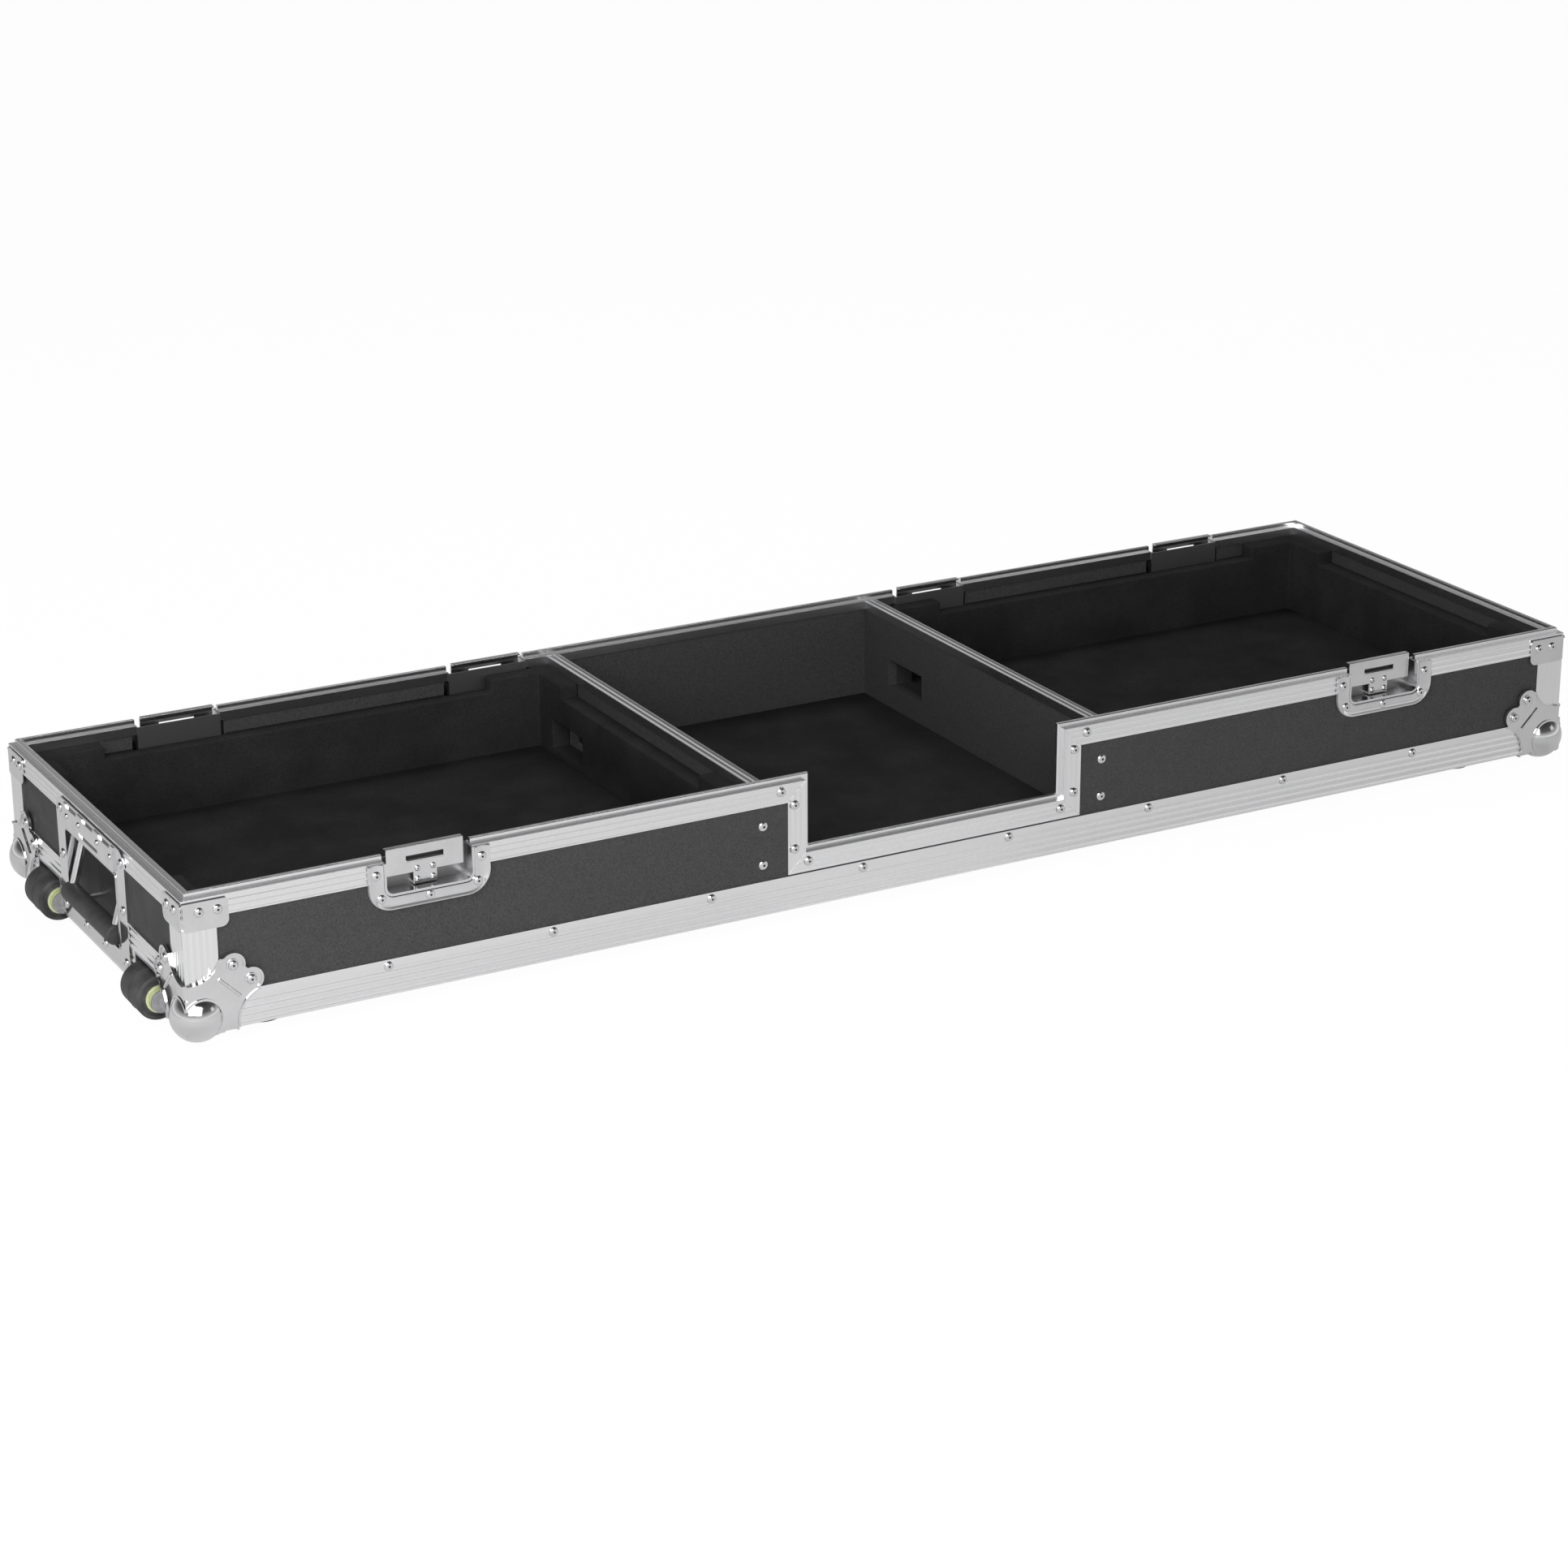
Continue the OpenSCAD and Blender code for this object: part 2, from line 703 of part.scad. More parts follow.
// Keeper for the latch at an end, on the upper band of the handle's flange
module end_latch_keeper() {
    low = cup_low + cup_hgt + 2;
    high = grab_low + grab_hgt - 1;
    difference() {
        translate([0, 0, sheet]) linear_extrude(keeper_thk) difference() {
            plate_outline([-cup_wid / 2, low], [cup_wid / 2, high], 3, 0);
            for (i = [-1 : 1]) translate([i * notch_pitch - notch_wid / 2, high - notch_dep])
                square([notch_wid, notch_dep + cut]);
            translate([-keeper_slot * 0.7, low + 3]) square([keeper_slot * 1.4, slot_hgt]);
        }
    }
}
module end_latch_keepers() {
    color(chrome) {
        on_left() end_latch_keeper();
        on_right() end_latch_keeper();
    }
}

// Recessed handle: a flange on the face round a closed pocket, with the flange's edges
// turned in to meet the panel from the strip or rail at low up to the rim
module cup_outline(grow) {
    half = cup_wid / 2 + grow;
    plate_outline([-half, cup_low - grow], [half, cup_low + cup_hgt + grow],
                  cup_round + grow, cup_round + grow);
}
module handle_dish(low) {
    color(chrome) difference() {
        union() {
            linear_extrude(sheet)
                plate_outline([-grab_wid / 2, grab_low], [grab_wid / 2, grab_low + grab_hgt],
                              grab_round, grab_round);
            translate([0, 0, -cup_dep - sheet]) linear_extrude(cup_dep + sheet) cup_outline(sheet);
            linear_extrude(sheet + bead) cup_outline(bead);
            for (side = [0, 1]) mirror([side, 0, 0])
                box([grab_wid / 2 - sheet, low, -rail_wall],
                    [grab_wid / 2, case_hgt - rim_drop, 0]);
        }
        translate([0, 0, -cup_dep]) linear_extrude(cup_dep + 3 * sheet) cup_outline(0);
        translate([-cup_wid, pivot_v, -pivot_in]) rotate([0, 90, 0])
            cylinder(r = wire_r + play, h = 2 * cup_wid);
    }
}
module left_handle_dish() { on_left() handle_dish(strip_low + strip_hgt); }
module right_handle_dish() { on_right() handle_dish(angle_wid); }

// Bail: steel wire from pivot to pivot, hanging down and leaning outwards
module at_pivot() { translate([0, pivot_v, -pivot_in]) rotate([-arm_lean, 0, 0]) children(); }
module handle_bail() {
    color(chrome) at_pivot() {
        for (side = [0, 1]) mirror([side, 0, 0]) {
            translate([arm_at, 0, 0]) rotate([0, 90, 0])
                cylinder(r = wire_r, h = cup_wid / 2 + sheet - slip - arm_at);
            translate([arm_at, 0, 0]) sphere(wire_r);
            translate([arm_at, 0, 0]) rotate([90, 0, 0]) cylinder(r = wire_r, h = arm_len);
            translate([arm_at, -arm_len, 0]) sphere(wire_r);
        }
        translate([-arm_at, -arm_len, 0]) rotate([0, 90, 0]) cylinder(r = wire_r, h = 2 * arm_at);
    }
}
module left_handle_bail() { on_left() handle_bail(); }
module right_handle_bail() { on_right() handle_bail(); }

// Grip: a rubber sleeve over the bail's bar and its bends
module handle_grip() {
    color(rubber) at_pivot() difference() {
        translate([-grip_half, -arm_len, 0]) rotate([0, 90, 0]) rotate_extrude()
            polygon([[0, 0], [grip_r - 1.5, 0], [grip_r, 1.5], [grip_r, 2 * grip_half - 1.5],
                     [grip_r - 1.5, 2 * grip_half], [0, 2 * grip_half]]);
        bore = arm_at + wire_r + slot_gap;
        translate([-bore, -arm_len, 0]) rotate([0, 90, 0]) cylinder(r = wire_r, h = 2 * bore);
        for (side = [-1, 1]) translate([side * arm_at, -arm_len, 0]) rotate([-90, 0, 0])
            cylinder(r = wire_r + slot_gap, h = 2 * grip_r);
    }
}
module left_handle_grip() { on_left() handle_grip(); }
module right_handle_grip() { on_right() handle_grip(); }

// Torsion springs that fold the bail down: turns round each pivot between a leg that stands on
// the pocket's back and a leg that hangs beside the arm
coil_from = arm_at + wire_r + coil_gap + coil_wire;
function coil_point(t) = let (a = 360 * t)
    [coil_from + coil_pitch * t, coil_r * cos(a), coil_r * sin(a)];
coil_steps = coil_turns * coil_rings;
coil_path = concat(
    [[coil_from, coil_r, pivot_in - cup_dep]],
    [for (i = [0 : coil_steps]) coil_point(i / coil_rings)],
    [[coil_from + coil_pitch * coil_turns, -coil_leg, coil_r]]);
function unit(v) = v / norm(v);
function ring_at(path, i) =
    let (last = len(path) - 1,
         way = unit(path[min(i + 1, last)] - path[max(i - 1, 0)]),
         out = unit(cross(way, [1, 0, 0])),
         side = cross(way, out))
    [for (k = [0 : coil_sides - 1]) let (a = 360 * k / coil_sides)
        path[i] + coil_wire * (cos(a) * out + sin(a) * side)];
module tube(path) {
    rings = len(path);
    points = [for (i = [0 : rings - 1]) each ring_at(path, i)];
    faces = concat(
        [[for (k = [0 : coil_sides - 1]) k]],
        [for (i = [0 : rings - 2], k = [0 : coil_sides - 1])
            let (a = i * coil_sides, n = (k + 1) % coil_sides)
            each [[a + k, a + coil_sides + k, a + n], [a + n, a + coil_sides + k, a + coil_sides + n]]],
        [[for (k = [coil_sides - 1 : -1 : 0]) (rings - 1) * coil_sides + k]]);
    polyhedron(points, faces, convexity = 4);
}
module handle_spring_pair() {
    for (side = [0, 1]) mirror([side, 0, 0]) translate([0, pivot_v, -pivot_in]) tube(coil_path);
}
module handle_springs() {
    color(chrome) {
        on_left() handle_spring_pair();
        on_right() handle_spring_pair();
    }
}
echo("least gap of a spring to itself", min([
    for (i = [0 : coil_steps], j = [i + coil_rings / 2 : 1 : coil_steps])
        norm(coil_point(i / coil_rings) - coil_point(j / coil_rings)) - 2 * coil_wire]));

// Wheel housing: folded sheet steel with two ears that hold the axle
module wheel_housing() {
    half = housing_wid / 2 + housing_wall;
    color(chrome) difference() {
        union() {
            box([-half, 0, -housing_dep], [half, angle_wid, 0]);
            for (side = [-half, half - housing_wall]) {
                translate([side, axle_v, -axle_in]) rotate([0, 90, 0])
                    cylinder(r = ear_r, h = housing_wall);
                box([side, axle_v - ear_r, -housing_dep / 2], [side + housing_wall, axle_v, -axle_in]);
            }
        }
        box([-housing_wid / 2, -housing_dep, -housing_dep + housing_wall],
            [housing_wid / 2, angle_wid - housing_wall, housing_dep]);
        translate([-half - cut, axle_v, -axle_in]) rotate([0, 90, 0])
            cylinder(r = axle_r + play, h = 2 * (half + cut));
        for (side = [-half - cut, half - housing_wall - cut])
            box([side, angle_wid, -cut], [side + housing_wall + 2 * cut, 2 * angle_wid, housing_dep]);
    }
}
module at_wheel(side) {
    on_left() translate([side * (half_dep - wheel_inset), 0, 0]) children();
}
module at_axle(side) {
    at_wheel(side) translate([0, axle_v, -axle_in]) rotate([0, 90, 0]) children();
}
module front_wheel_housing() { at_wheel(1) wheel_housing(); }
module back_wheel_housing() { at_wheel(-1) wheel_housing(); }

module wheel_axle() {
    half = housing_wid / 2 + housing_wall;
    color(chrome) cylinder(r = axle_r, h = 2 * half, center = true);
}
module front_wheel_axle() { at_axle(1) wheel_axle(); }
module back_wheel_axle() { at_axle(-1) wheel_axle(); }

// Tyre: rounded shoulders and a mould line, bonded to the hub
module wheel_tyre() {
    round_r = 2.5;
    half = wheel_wid / 2;
    color(rubber) rotate_extrude() {
        difference() {
            translate([hub_r, -half]) square([wheel_r - hub_r, wheel_wid]);
            for (end = [-1, 1]) translate([wheel_r, end * half]) rotate(45)
                square(round_r, center = true);
            for (end = [-1, 1]) translate([(hub_r + wheel_r) / 2 - 1, end * half]) circle(0.9);
        }
        translate([wheel_r, 0]) circle(0.35);
    }
}
module front_wheel_tyre() { at_axle(1) wheel_tyre(); }
module back_wheel_tyre() { at_axle(-1) wheel_tyre(); }

// Hub: nylon core with a dished face at each end
module wheel_hub() {
    bush_r = axle_r + play + bush_wall;
    face = wheel_wid / 2 + 1.5;
    color(nylon) rotate_extrude() difference() {
        translate([bush_r, -hub_half]) square([hub_r - bush_r, 2 * hub_half]);
        for (end = [0, 1]) mirror([0, end]) {
            translate([bush_r + 2, face]) square([hub_r, hub_half]);
            translate([bush_r + 2, face - 2]) square([2.2, 2 + cut]);
        }
    }
}
module front_wheel_hub() { at_axle(1) wheel_hub(); }
module back_wheel_hub() { at_axle(-1) wheel_hub(); }

// Bush: the steel tube that the wheel turns on
module wheel_bush() {
    color(chrome) difference() {
        cylinder(r = axle_r + play + bush_wall, h = 2 * hub_half, center = true);
        cylinder(r = axle_r + play, h = 2 * hub_half + 2 * cut, center = true);
    }
}
module front_wheel_bush() { at_axle(1) wheel_bush(); }
module back_wheel_bush() { at_axle(-1) wheel_bush(); }

// Rubber feet with a sunk screw
module at_feet() {
    for (side = [-1, 1], depth = [-1, 1])
        centred() translate([side * (half_len - foot_x), depth * (half_dep - foot_y), 0]) children();
}
sink_r = 6;
sink_dep = 9;
screw_r = 2;
module rubber_feet() {
    top = foot_hgt + rail_wall;
    color(rubber) at_feet() difference() {
        cylinder(r1 = foot_r, r2 = foot_r + 1.5, h = top);
        translate([0, 0, -cut]) cylinder(r = sink_r, h = sink_dep + cut);
        translate([0, 0, -cut]) cylinder(r = screw_r + slip, h = top + 2 * cut);
    }
}
module foot_screws() {
    top = foot_hgt + rail_wall;
    color(chrome) at_feet() {
        translate([0, 0, sink_dep - 3]) cylinder(r = sink_r - 1, h = 3);
        translate([0, 0, sink_dep - 1]) cylinder(r = screw_r, h = top - sink_dep + 1);
    }
}

// Foam: pads under the players and the mixer, and liners that hold the players
bay_in = mixer_bay / 2 + ply;
bay_out = half_len - wall;
// Pocket for a record player, inside the foam of a bay
pocket_len = bay_out - bay_in - 2 * liner_end;
pocket_dep = case_dep - 2 * wall - 2 * liner_side;
module bay_pad(side) {
    middle = (bay_out + bay_in) / 2;
    centred() mirror([side, 0, 0]) translate([-middle, 0, foot_hgt])
        box([-pocket_len / 2, -pocket_dep / 2, floor_top],
            [pocket_len / 2, pocket_dep / 2, floor_top + pad_thk]);
}
module left_bay_pad() {
    color(foam) difference() {
        bay_pad(0);
        on_left() wheel_bays();
    }
}
module right_bay_pad() { color(foam) bay_pad(1); }
module mixer_pad() {
    half = mixer_bay / 2;
    deep = half_dep - wall;
    color(foam) centred() translate([0, 0, foot_hgt])
        box([-half, -deep, floor_top], [half, deep, floor_top + mixer_pad_thk]);
}

// Liner: four strips of foam round the pocket for a record player, with taller corners
module bay_liner() {
    low = foot_hgt + floor_top;
    high = foot_hgt + liner_top;
    deep = half_dep - wall;
    difference() {
        box([-bay_out, -deep, low], [-bay_in, deep, high]);
        box([liner_end - bay_out, liner_side - deep, low - cut],
            [-bay_in - liner_end, deep - liner_side, high + cut]);
        box([block_len - bay_out, -deep - cut, high - liner_drop], [-bay_in - block_len, deep + cut, high + cut]);
        box([-bay_out - cut, block_len - deep, high - liner_drop], [cut - bay_in, deep - block_len, high + cut]);
    }
}
module liner(side) {
    difference() {
        centred() mirror([side, 0, 0]) bay_liner();
        on_front() front_latches() latch_bay(board_gap);
        on_back() back_latches() latch_bay(board_gap);
        at_divider(side) cable_hole();
        if (side == 0) on_left() {
            grab_bay();
            wheel_bays();
        }
        else on_right() grab_bay();
    }
}
module left_bay_liner() { color(foam) liner(0); }
module right_bay_liner() { color(foam) liner(1); }

// Rivet heads: domes that stand on a face
module dome(r, h) {
    ball = (r * r + h * h) / (2 * h);
    intersection() {
        translate([0, 0, h - ball]) sphere(ball);
        cylinder(r = r, h = h);
    }
}
module domes(places, r = rivet_r, h = rivet_hgt) {
    for (at = places) translate(at) dome(r, h);
}

// Rivets along the bottom rails and the cut-out, and the screws into the dividers
cut_rivets = [[cut_half + 6, case_hgt - 6.5], [cut_half - 6.5, case_hgt - rim_drop - 3],
              [cut_half - 6.5, cut_sill + 5], [cut_half - rim_drop - 2.5, cut_low + 9]];
bottom_row = [for (i = [0 : rivet_row - 1]) [(i - (rivet_row - 1) / 2) * rivet_pitch, rivet_v, 0]];
module edging_rivets() {
    screw_u = mixer_bay / 2 + ply / 2;
    color(chrome) {
        on_front() {
            domes(bottom_row);
            for (side = [0, 1]) mirror([side, 0, 0]) {
                for (at = cut_rivets) translate(at) dome(rivet_r, rivet_hgt);
                for (v = [44, 78]) translate([screw_u, v, -rail_wall]) dome(rivet_r + 0.4, rivet_hgt);
            }
        }
        on_back() {
            domes(bottom_row);
            for (side = [-1, 1], v = [44, 78]) translate([side * screw_u, v, -rail_wall])
                dome(rivet_r + 0.4, rivet_hgt);
        }
        on_right() domes([for (i = [-1, 1]) [i * rivet_pitch * 0.9, rivet_v, 0]]);
    }
}

// Rivets of the ball corners and the top corner brackets
module leg_rivets() {
    for (way = [-1, 1]) translate([lobe_mid + way * lobe_side, lobe_mid - way * lobe_side, -leg_thk])
        mirror([0, 0, 1]) {
            cylinder(r = washer_r, h = washer_thk);
            dome(rivet_r, rivet_hgt + washer_thk);
        }
}
module bracket_rivets() {
    for (u = [14, 29]) translate([u, case_hgt - 11, sheet]) dome(rivet_r, rivet_hgt);
}
module corner_rivets() {
    color(chrome) for (side = [0, 1], depth = [0, 1]) at_corner(side, depth) translate([0, 0, foot_hgt]) {
        leg_rivets();
        rotate([90, 0, 0]) mirror([0, 0, 1]) leg_rivets();
        rotate([0, -90, 0]) mirror([0, 0, 1]) leg_rivets();
        rotate([90, 0, 0]) bracket_rivets();
        rotate([0, 0, -90]) mirror([1, 0, 0]) rotate([90, 0, 0]) bracket_rivets();
    }
}

// Rivets of the latch dishes and their keepers
module latch_rivet_set() {
    half = dish_wid / 2;
    for (side = [-1, 1]) {
        translate([side * (half - dish_band / 2), case_hgt - 10, sheet]) dome(rivet_r, rivet_hgt);
        translate([side * (half - 11), case_hgt - dish_drop + 10.5, sheet]) dome(rivet_r, rivet_hgt);
        translate([side * tab_wid / 3, keeper_low + 3, -keeper_in]) dome(small_r, small_hgt);
        translate([side * tab_wid / 3, pocket_low + 6, -keeper_in]) dome(small_r, small_hgt);
    }
    translate([0, case_hgt - dish_drop + 7, sheet]) dome(rivet_r, rivet_hgt);
}
module latch_rivets() {
    color(chrome) {
        on_front() front_latches() latch_rivet_set();
        on_back() back_latches() latch_rivet_set();
    }
}

// Rivets of the handle dishes and the end keepers
keeper_rivet = 22.5;
keeper_foot = 12;
module handle_rivet_set() {
    edge = grab_wid / 2 - 9;
    for (side = [-1, 1]) {
        for (v = [13, 58, 98]) translate([side * edge, v, sheet]) dome(rivet_r, rivet_hgt);
        translate([side * keeper_rivet, keeper_foot, sheet]) dome(rivet_r, rivet_hgt);
        translate([side * keeper_rivet, grab_low + grab_hgt - 9, sheet + keeper_thk]) dome(small_r, small_hgt);
        translate([side * (cup_wid / 2 - 8), grab_low + grab_hgt - 11, sheet + keeper_thk])
            dome(small_r, small_hgt);
    }
}
module handle_rivets() {
    color(chrome) {
        on_left() handle_rivet_set();
        on_right() handle_rivet_set();
    }
}

floor_panel();
front_panel();
back_panel();
left_end_panel();
right_end_panel();
left_divider();
right_divider();
left_divider_cap();
right_divider_cap();
front_bottom_rail();
back_bottom_rail();
left_bottom_rail();
right_bottom_rail();
wheel_notch_strips();
corner_posts();
front_left_top_rail();
front_right_top_rail();
back_top_rail();
left_top_rail();
right_top_rail();
cutout_left_rail();
cutout_right_rail();
cutout_bottom_rail();
front_left_ball_corner();
front_right_ball_corner();
back_left_ball_corner();
back_right_ball_corner();
top_corner_brackets();
front_latch_dishes();
back_latch_dishes();
latch_keepers();
end_latch_keepers();
left_handle_dish();
right_handle_dish();
left_handle_bail();
left_handle_grip();
right_handle_bail();
right_handle_grip();
handle_springs();
front_wheel_housing();
back_wheel_housing();
front_wheel_axle();
back_wheel_axle();
front_wheel_tyre();
front_wheel_hub();
front_wheel_bush();
back_wheel_tyre();
back_wheel_hub();
back_wheel_bush();
rubber_feet();
foot_screws();
left_bay_liner();
right_bay_liner();
left_bay_pad();
right_bay_pad();
mixer_pad();
edging_rivets();
corner_rivets();
latch_rivets();
handle_rivets();
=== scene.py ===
import math

import bmesh
import bpy
from bpy.props import FloatProperty, FloatVectorProperty, IntProperty, PointerProperty
from mathutils import Matrix, Vector


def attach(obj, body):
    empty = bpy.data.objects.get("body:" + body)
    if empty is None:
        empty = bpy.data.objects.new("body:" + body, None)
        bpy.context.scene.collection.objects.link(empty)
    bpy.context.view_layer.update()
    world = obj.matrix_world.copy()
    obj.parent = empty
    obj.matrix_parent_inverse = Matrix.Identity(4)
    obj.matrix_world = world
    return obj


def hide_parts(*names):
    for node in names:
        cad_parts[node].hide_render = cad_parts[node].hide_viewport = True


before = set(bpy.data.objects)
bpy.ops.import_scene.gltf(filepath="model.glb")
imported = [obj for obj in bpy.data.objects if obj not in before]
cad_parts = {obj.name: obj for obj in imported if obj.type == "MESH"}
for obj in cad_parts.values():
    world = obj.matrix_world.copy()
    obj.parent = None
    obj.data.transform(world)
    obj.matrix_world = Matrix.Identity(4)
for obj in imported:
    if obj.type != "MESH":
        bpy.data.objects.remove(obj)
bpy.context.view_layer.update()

bl_info = {
    "name": "Coffin case base",
    "version": (1, 0, 0),
    "blender": (4, 5, 0),
    "location": "View3D > Sidebar > Case",
    "description": "Dresses a long flight case base with its finishes, foam, rivets and studio",
    "category": "Object",
}

CASE = "case"
FOAM_NODES = ("left_bay_liner", "right_bay_liner", "left_bay_pad", "right_bay_pad", "mixer_pad")
RIVET_NODES = ("edging_rivets", "corner_rivets", "latch_rivets", "handle_rivets")

# The finish of each CAD node, by the finish's name
FINISH_OF = {
    "laminate": ("floor_panel", "front_panel", "back_panel", "left_end_panel", "right_end_panel",
                 "left_divider", "right_divider"),
    "rail_x": ("front_bottom_rail", "back_bottom_rail", "front_left_top_rail",
               "front_right_top_rail", "back_top_rail", "cutout_bottom_rail"),
    "rail_y": ("left_bottom_rail", "right_bottom_rail", "left_top_rail", "right_top_rail",
               "left_divider_cap", "right_divider_cap", "wheel_notch_strips"),
    "rail_z": ("corner_posts", "cutout_left_rail", "cutout_right_rail"),
    "chrome": ("front_left_ball_corner", "front_right_ball_corner", "back_left_ball_corner",
               "back_right_ball_corner", "left_handle_bail", "right_handle_bail"),
    "plated": ("top_corner_brackets", "latch_keepers", "end_latch_keepers"),
    "dish": ("front_latch_dishes", "back_latch_dishes"),
    "cup": ("left_handle_dish", "right_handle_dish"),
    "zinc": ("front_wheel_housing", "back_wheel_housing", "front_wheel_axle", "back_wheel_axle",
             "front_wheel_bush", "back_wheel_bush", "foot_screws"),
    "spring": ("handle_springs",),
    "grip": ("left_handle_grip", "right_handle_grip"),
    "tyre": ("front_wheel_tyre", "back_wheel_tyre"),
    "foot": ("rubber_feet",),
    "nylon": ("front_wheel_hub", "back_wheel_hub"),
}
# Width of the softened edges of each kind of piece, in metres
EDGE_OF = {"laminate": 0.0003, "rail_x": 0.00025, "rail_y": 0.00025, "rail_z": 0.00025,
           "chrome": 0.0006, "plated": 0.0004, "cup": 0.0004, "dish": 0.0004, "zinc": 0.0003}
# Middle of the case between its rails
MIDDLE = 0.002747
# Places of the latch dishes along the front (-1) and the back (1), from the middle
DISHES = {-1: (-0.465, 0.465), 1: (-0.523, -0.231, 0.231, 0.523)}
# Distance from the middle to the bottom and to the face of the handles' cups and the latch dishes
# The painted shade in the cups and dishes is darkest at the bottom and fades out at the face
CUP_DEPTH = (0.655, 0.668)
DISH_DEPTH = (0.194, 0.2065)

# A CAD node's triangles are joined where their corners are this near, in a copy and by a modifier
JOIN_NEAR = 0.000005
WELD_NEAR = 0.00001
# Edges sharper than these are rounded, on rigid pieces and on foam
SHARP = math.radians(40)
FOAM_SHARP = math.radians(30)
# Faces of foam that turn less than this are one face
FLAT = math.radians(1)

# How much longer a rail's streaks are than wide, and how dark its streaks and clouds are
STREAK = 160
RAIL_SHADE = 0.94
# Size of the marks on plated steel, how dark they are, and how dark the painted shade at the
# bottom of a cup is
MARK_SIZE = 0.018
MARK_SHADE = 0.82
CUP_SHADE = 0.42
# Steps down a side of a latch dish's channel, and round its corner
SIDE_STEPS = 6
ROUND_STEPS = 10
# Section of the channel, from its inner edge: share of the width, and share of the height
VALLEY = [(0.04 + 0.11 * k, 0.08 + 0.87 * abs(k / 4 - 1) ** 2.5) for k in range(9)]
CHANNEL = [(0, 0), (0, 0.55)] + VALLEY + [(0.96, 1), (0.99, 0.85), (1, 0.6), (1, 0)]
# Corners of a rivet head that are further out than this share of its radius are its rim
RIM_SHARE = 0.97
# Section of a rivet's dome down to its hole: share of the radius, and share of the height
DOME = [(1.0, 0.0), (0.99, 0.18), (0.9, 0.46), (0.74, 0.74), (0.55, 0.92)]
# Section of the washer, and the share of its radius that the dome on it has
WASHER = [(1.0, 0.0), (1.0, 0.2), (0.97, 0.26)]
DOME_ON_WASHER = 0.79
# Share of the hole's radius, on a plain head and on one with a washer, where the faces are dark:
# painted shade in the hole
DARK_PLAIN = 0.96
DARK_WASHER = 0.76

# Floor: its paleness, its glow, and the share of glow that the camera and the metal see
PAPER = 0.9
GLOW = 1.03
GLOW_SEEN = 0.94
GLOW_MIRRORED = 0.22
# Levels of the surround, by the height that a ray points at
SKY = ((0.04, 0.95), (0.2, 0.5), (0.42, 0.12), (0.8, 0.05))
# Soft boxes: name, place, aim, width and height, power
LAMPS = (
    ("key", (-1.3, -1.5, 1.1), (-0.6, -0.3, 0), (1.9, 1.2), 31),
    ("fill", (2.8, -2.2, 1.6), (0.2, 0, 0.05), (1.2, 0.9), 2),
    ("top", (0.5, 0.9, 3.0), (0, 0, 0.05), (2.2, 0.7), 24),
)


def colour(name, description, value):
    return FloatVectorProperty(name=name, description=description, subtype="COLOR", size=3,
                               min=0.0, max=1.0, default=value)


def length(name, description, value):
    return FloatProperty(name=name, description=description, subtype="DISTANCE", unit="LENGTH",
                         min=0.0, precision=5, default=value)


class CaseFinishes(bpy.types.PropertyGroup):
    laminate: colour("Laminate", "Colour of the black laminate", (0.034, 0.034, 0.035))
    laminate_fleck: colour("Laminate fleck", "Lighter flecks in the laminate",
                           (0.085, 0.085, 0.087))
    aluminium: colour("Aluminium", "Colour of the drawn rails", (0.9, 0.9, 0.91))
    chrome: colour("Chrome", "Colour of the bright plated parts", (0.74, 0.74, 0.75))
    zinc: colour("Zinc", "Colour of the zinc plated parts", (0.58, 0.58, 0.60))
    foam: colour("Foam", "Colour of the foam", (0.026, 0.026, 0.027))
    rubber: colour("Rubber", "Colour of the grips, tyres and feet", (0.042, 0.042, 0.044))
    dust: colour("Dust", "Colour of the dust on rubber", (0.16, 0.155, 0.15))
    nylon: colour("Nylon", "Colour of the wheel hubs", (0.78, 0.82, 0.52))
    fleck_size: length("Fleck size", "Size of the laminate's flecks", 0.0011)
    streak_size: length("Streak size", "Width of the drawing streaks on the rails", 0.0006)


class FoamSizes(bpy.types.PropertyGroup):
    edge: length("Edge", "Radius of the foam's cut edges", 0.0022)
    cell: length("Cell", "Size of the foam's cells", 0.0011)


class ChannelSizes(bpy.types.PropertyGroup):
    half: length("Half width", "Half the width of a latch dish", 0.05195)
    low: length("Lower edge", "Height of a dish's lower edge over the floor", 0.0898)
    top: length("Upper end", "Height of a dish's upper end over the floor", 0.1285)
    band: length("Band", "Width of the pressed channel", 0.0131)
    foot: length("Foot", "Width of the channel along the bottom", 0.0111)
    round: length("Round", "Radius of the outer corners", 0.0197)
    mouth_round: length("Mouth round", "Radius of the inner corners", 0.0081)
    face: length("Face", "Distance of the dishes' faces from the middle", 0.2072)
    rise: length("Rise", "Height of the channel's outer edge", 0.0015)


class RivetSizes(bpy.types.PropertyGroup):
    steps: IntProperty(name="Steps", description="Steps round a rivet's head", default=20, min=8)
    washer: length("Washer", "Heads wider than this radius stand on a washer", 0.0046)
    dimple: FloatProperty(name="Dimple", description="Radius of the dimple over the head's radius",
                          default=0.24, min=0.1, max=0.6)
    sink: FloatProperty(name="Sink", description="Depth of the dimple over the head's height",
                        default=0.8, min=0.1, max=0.9)


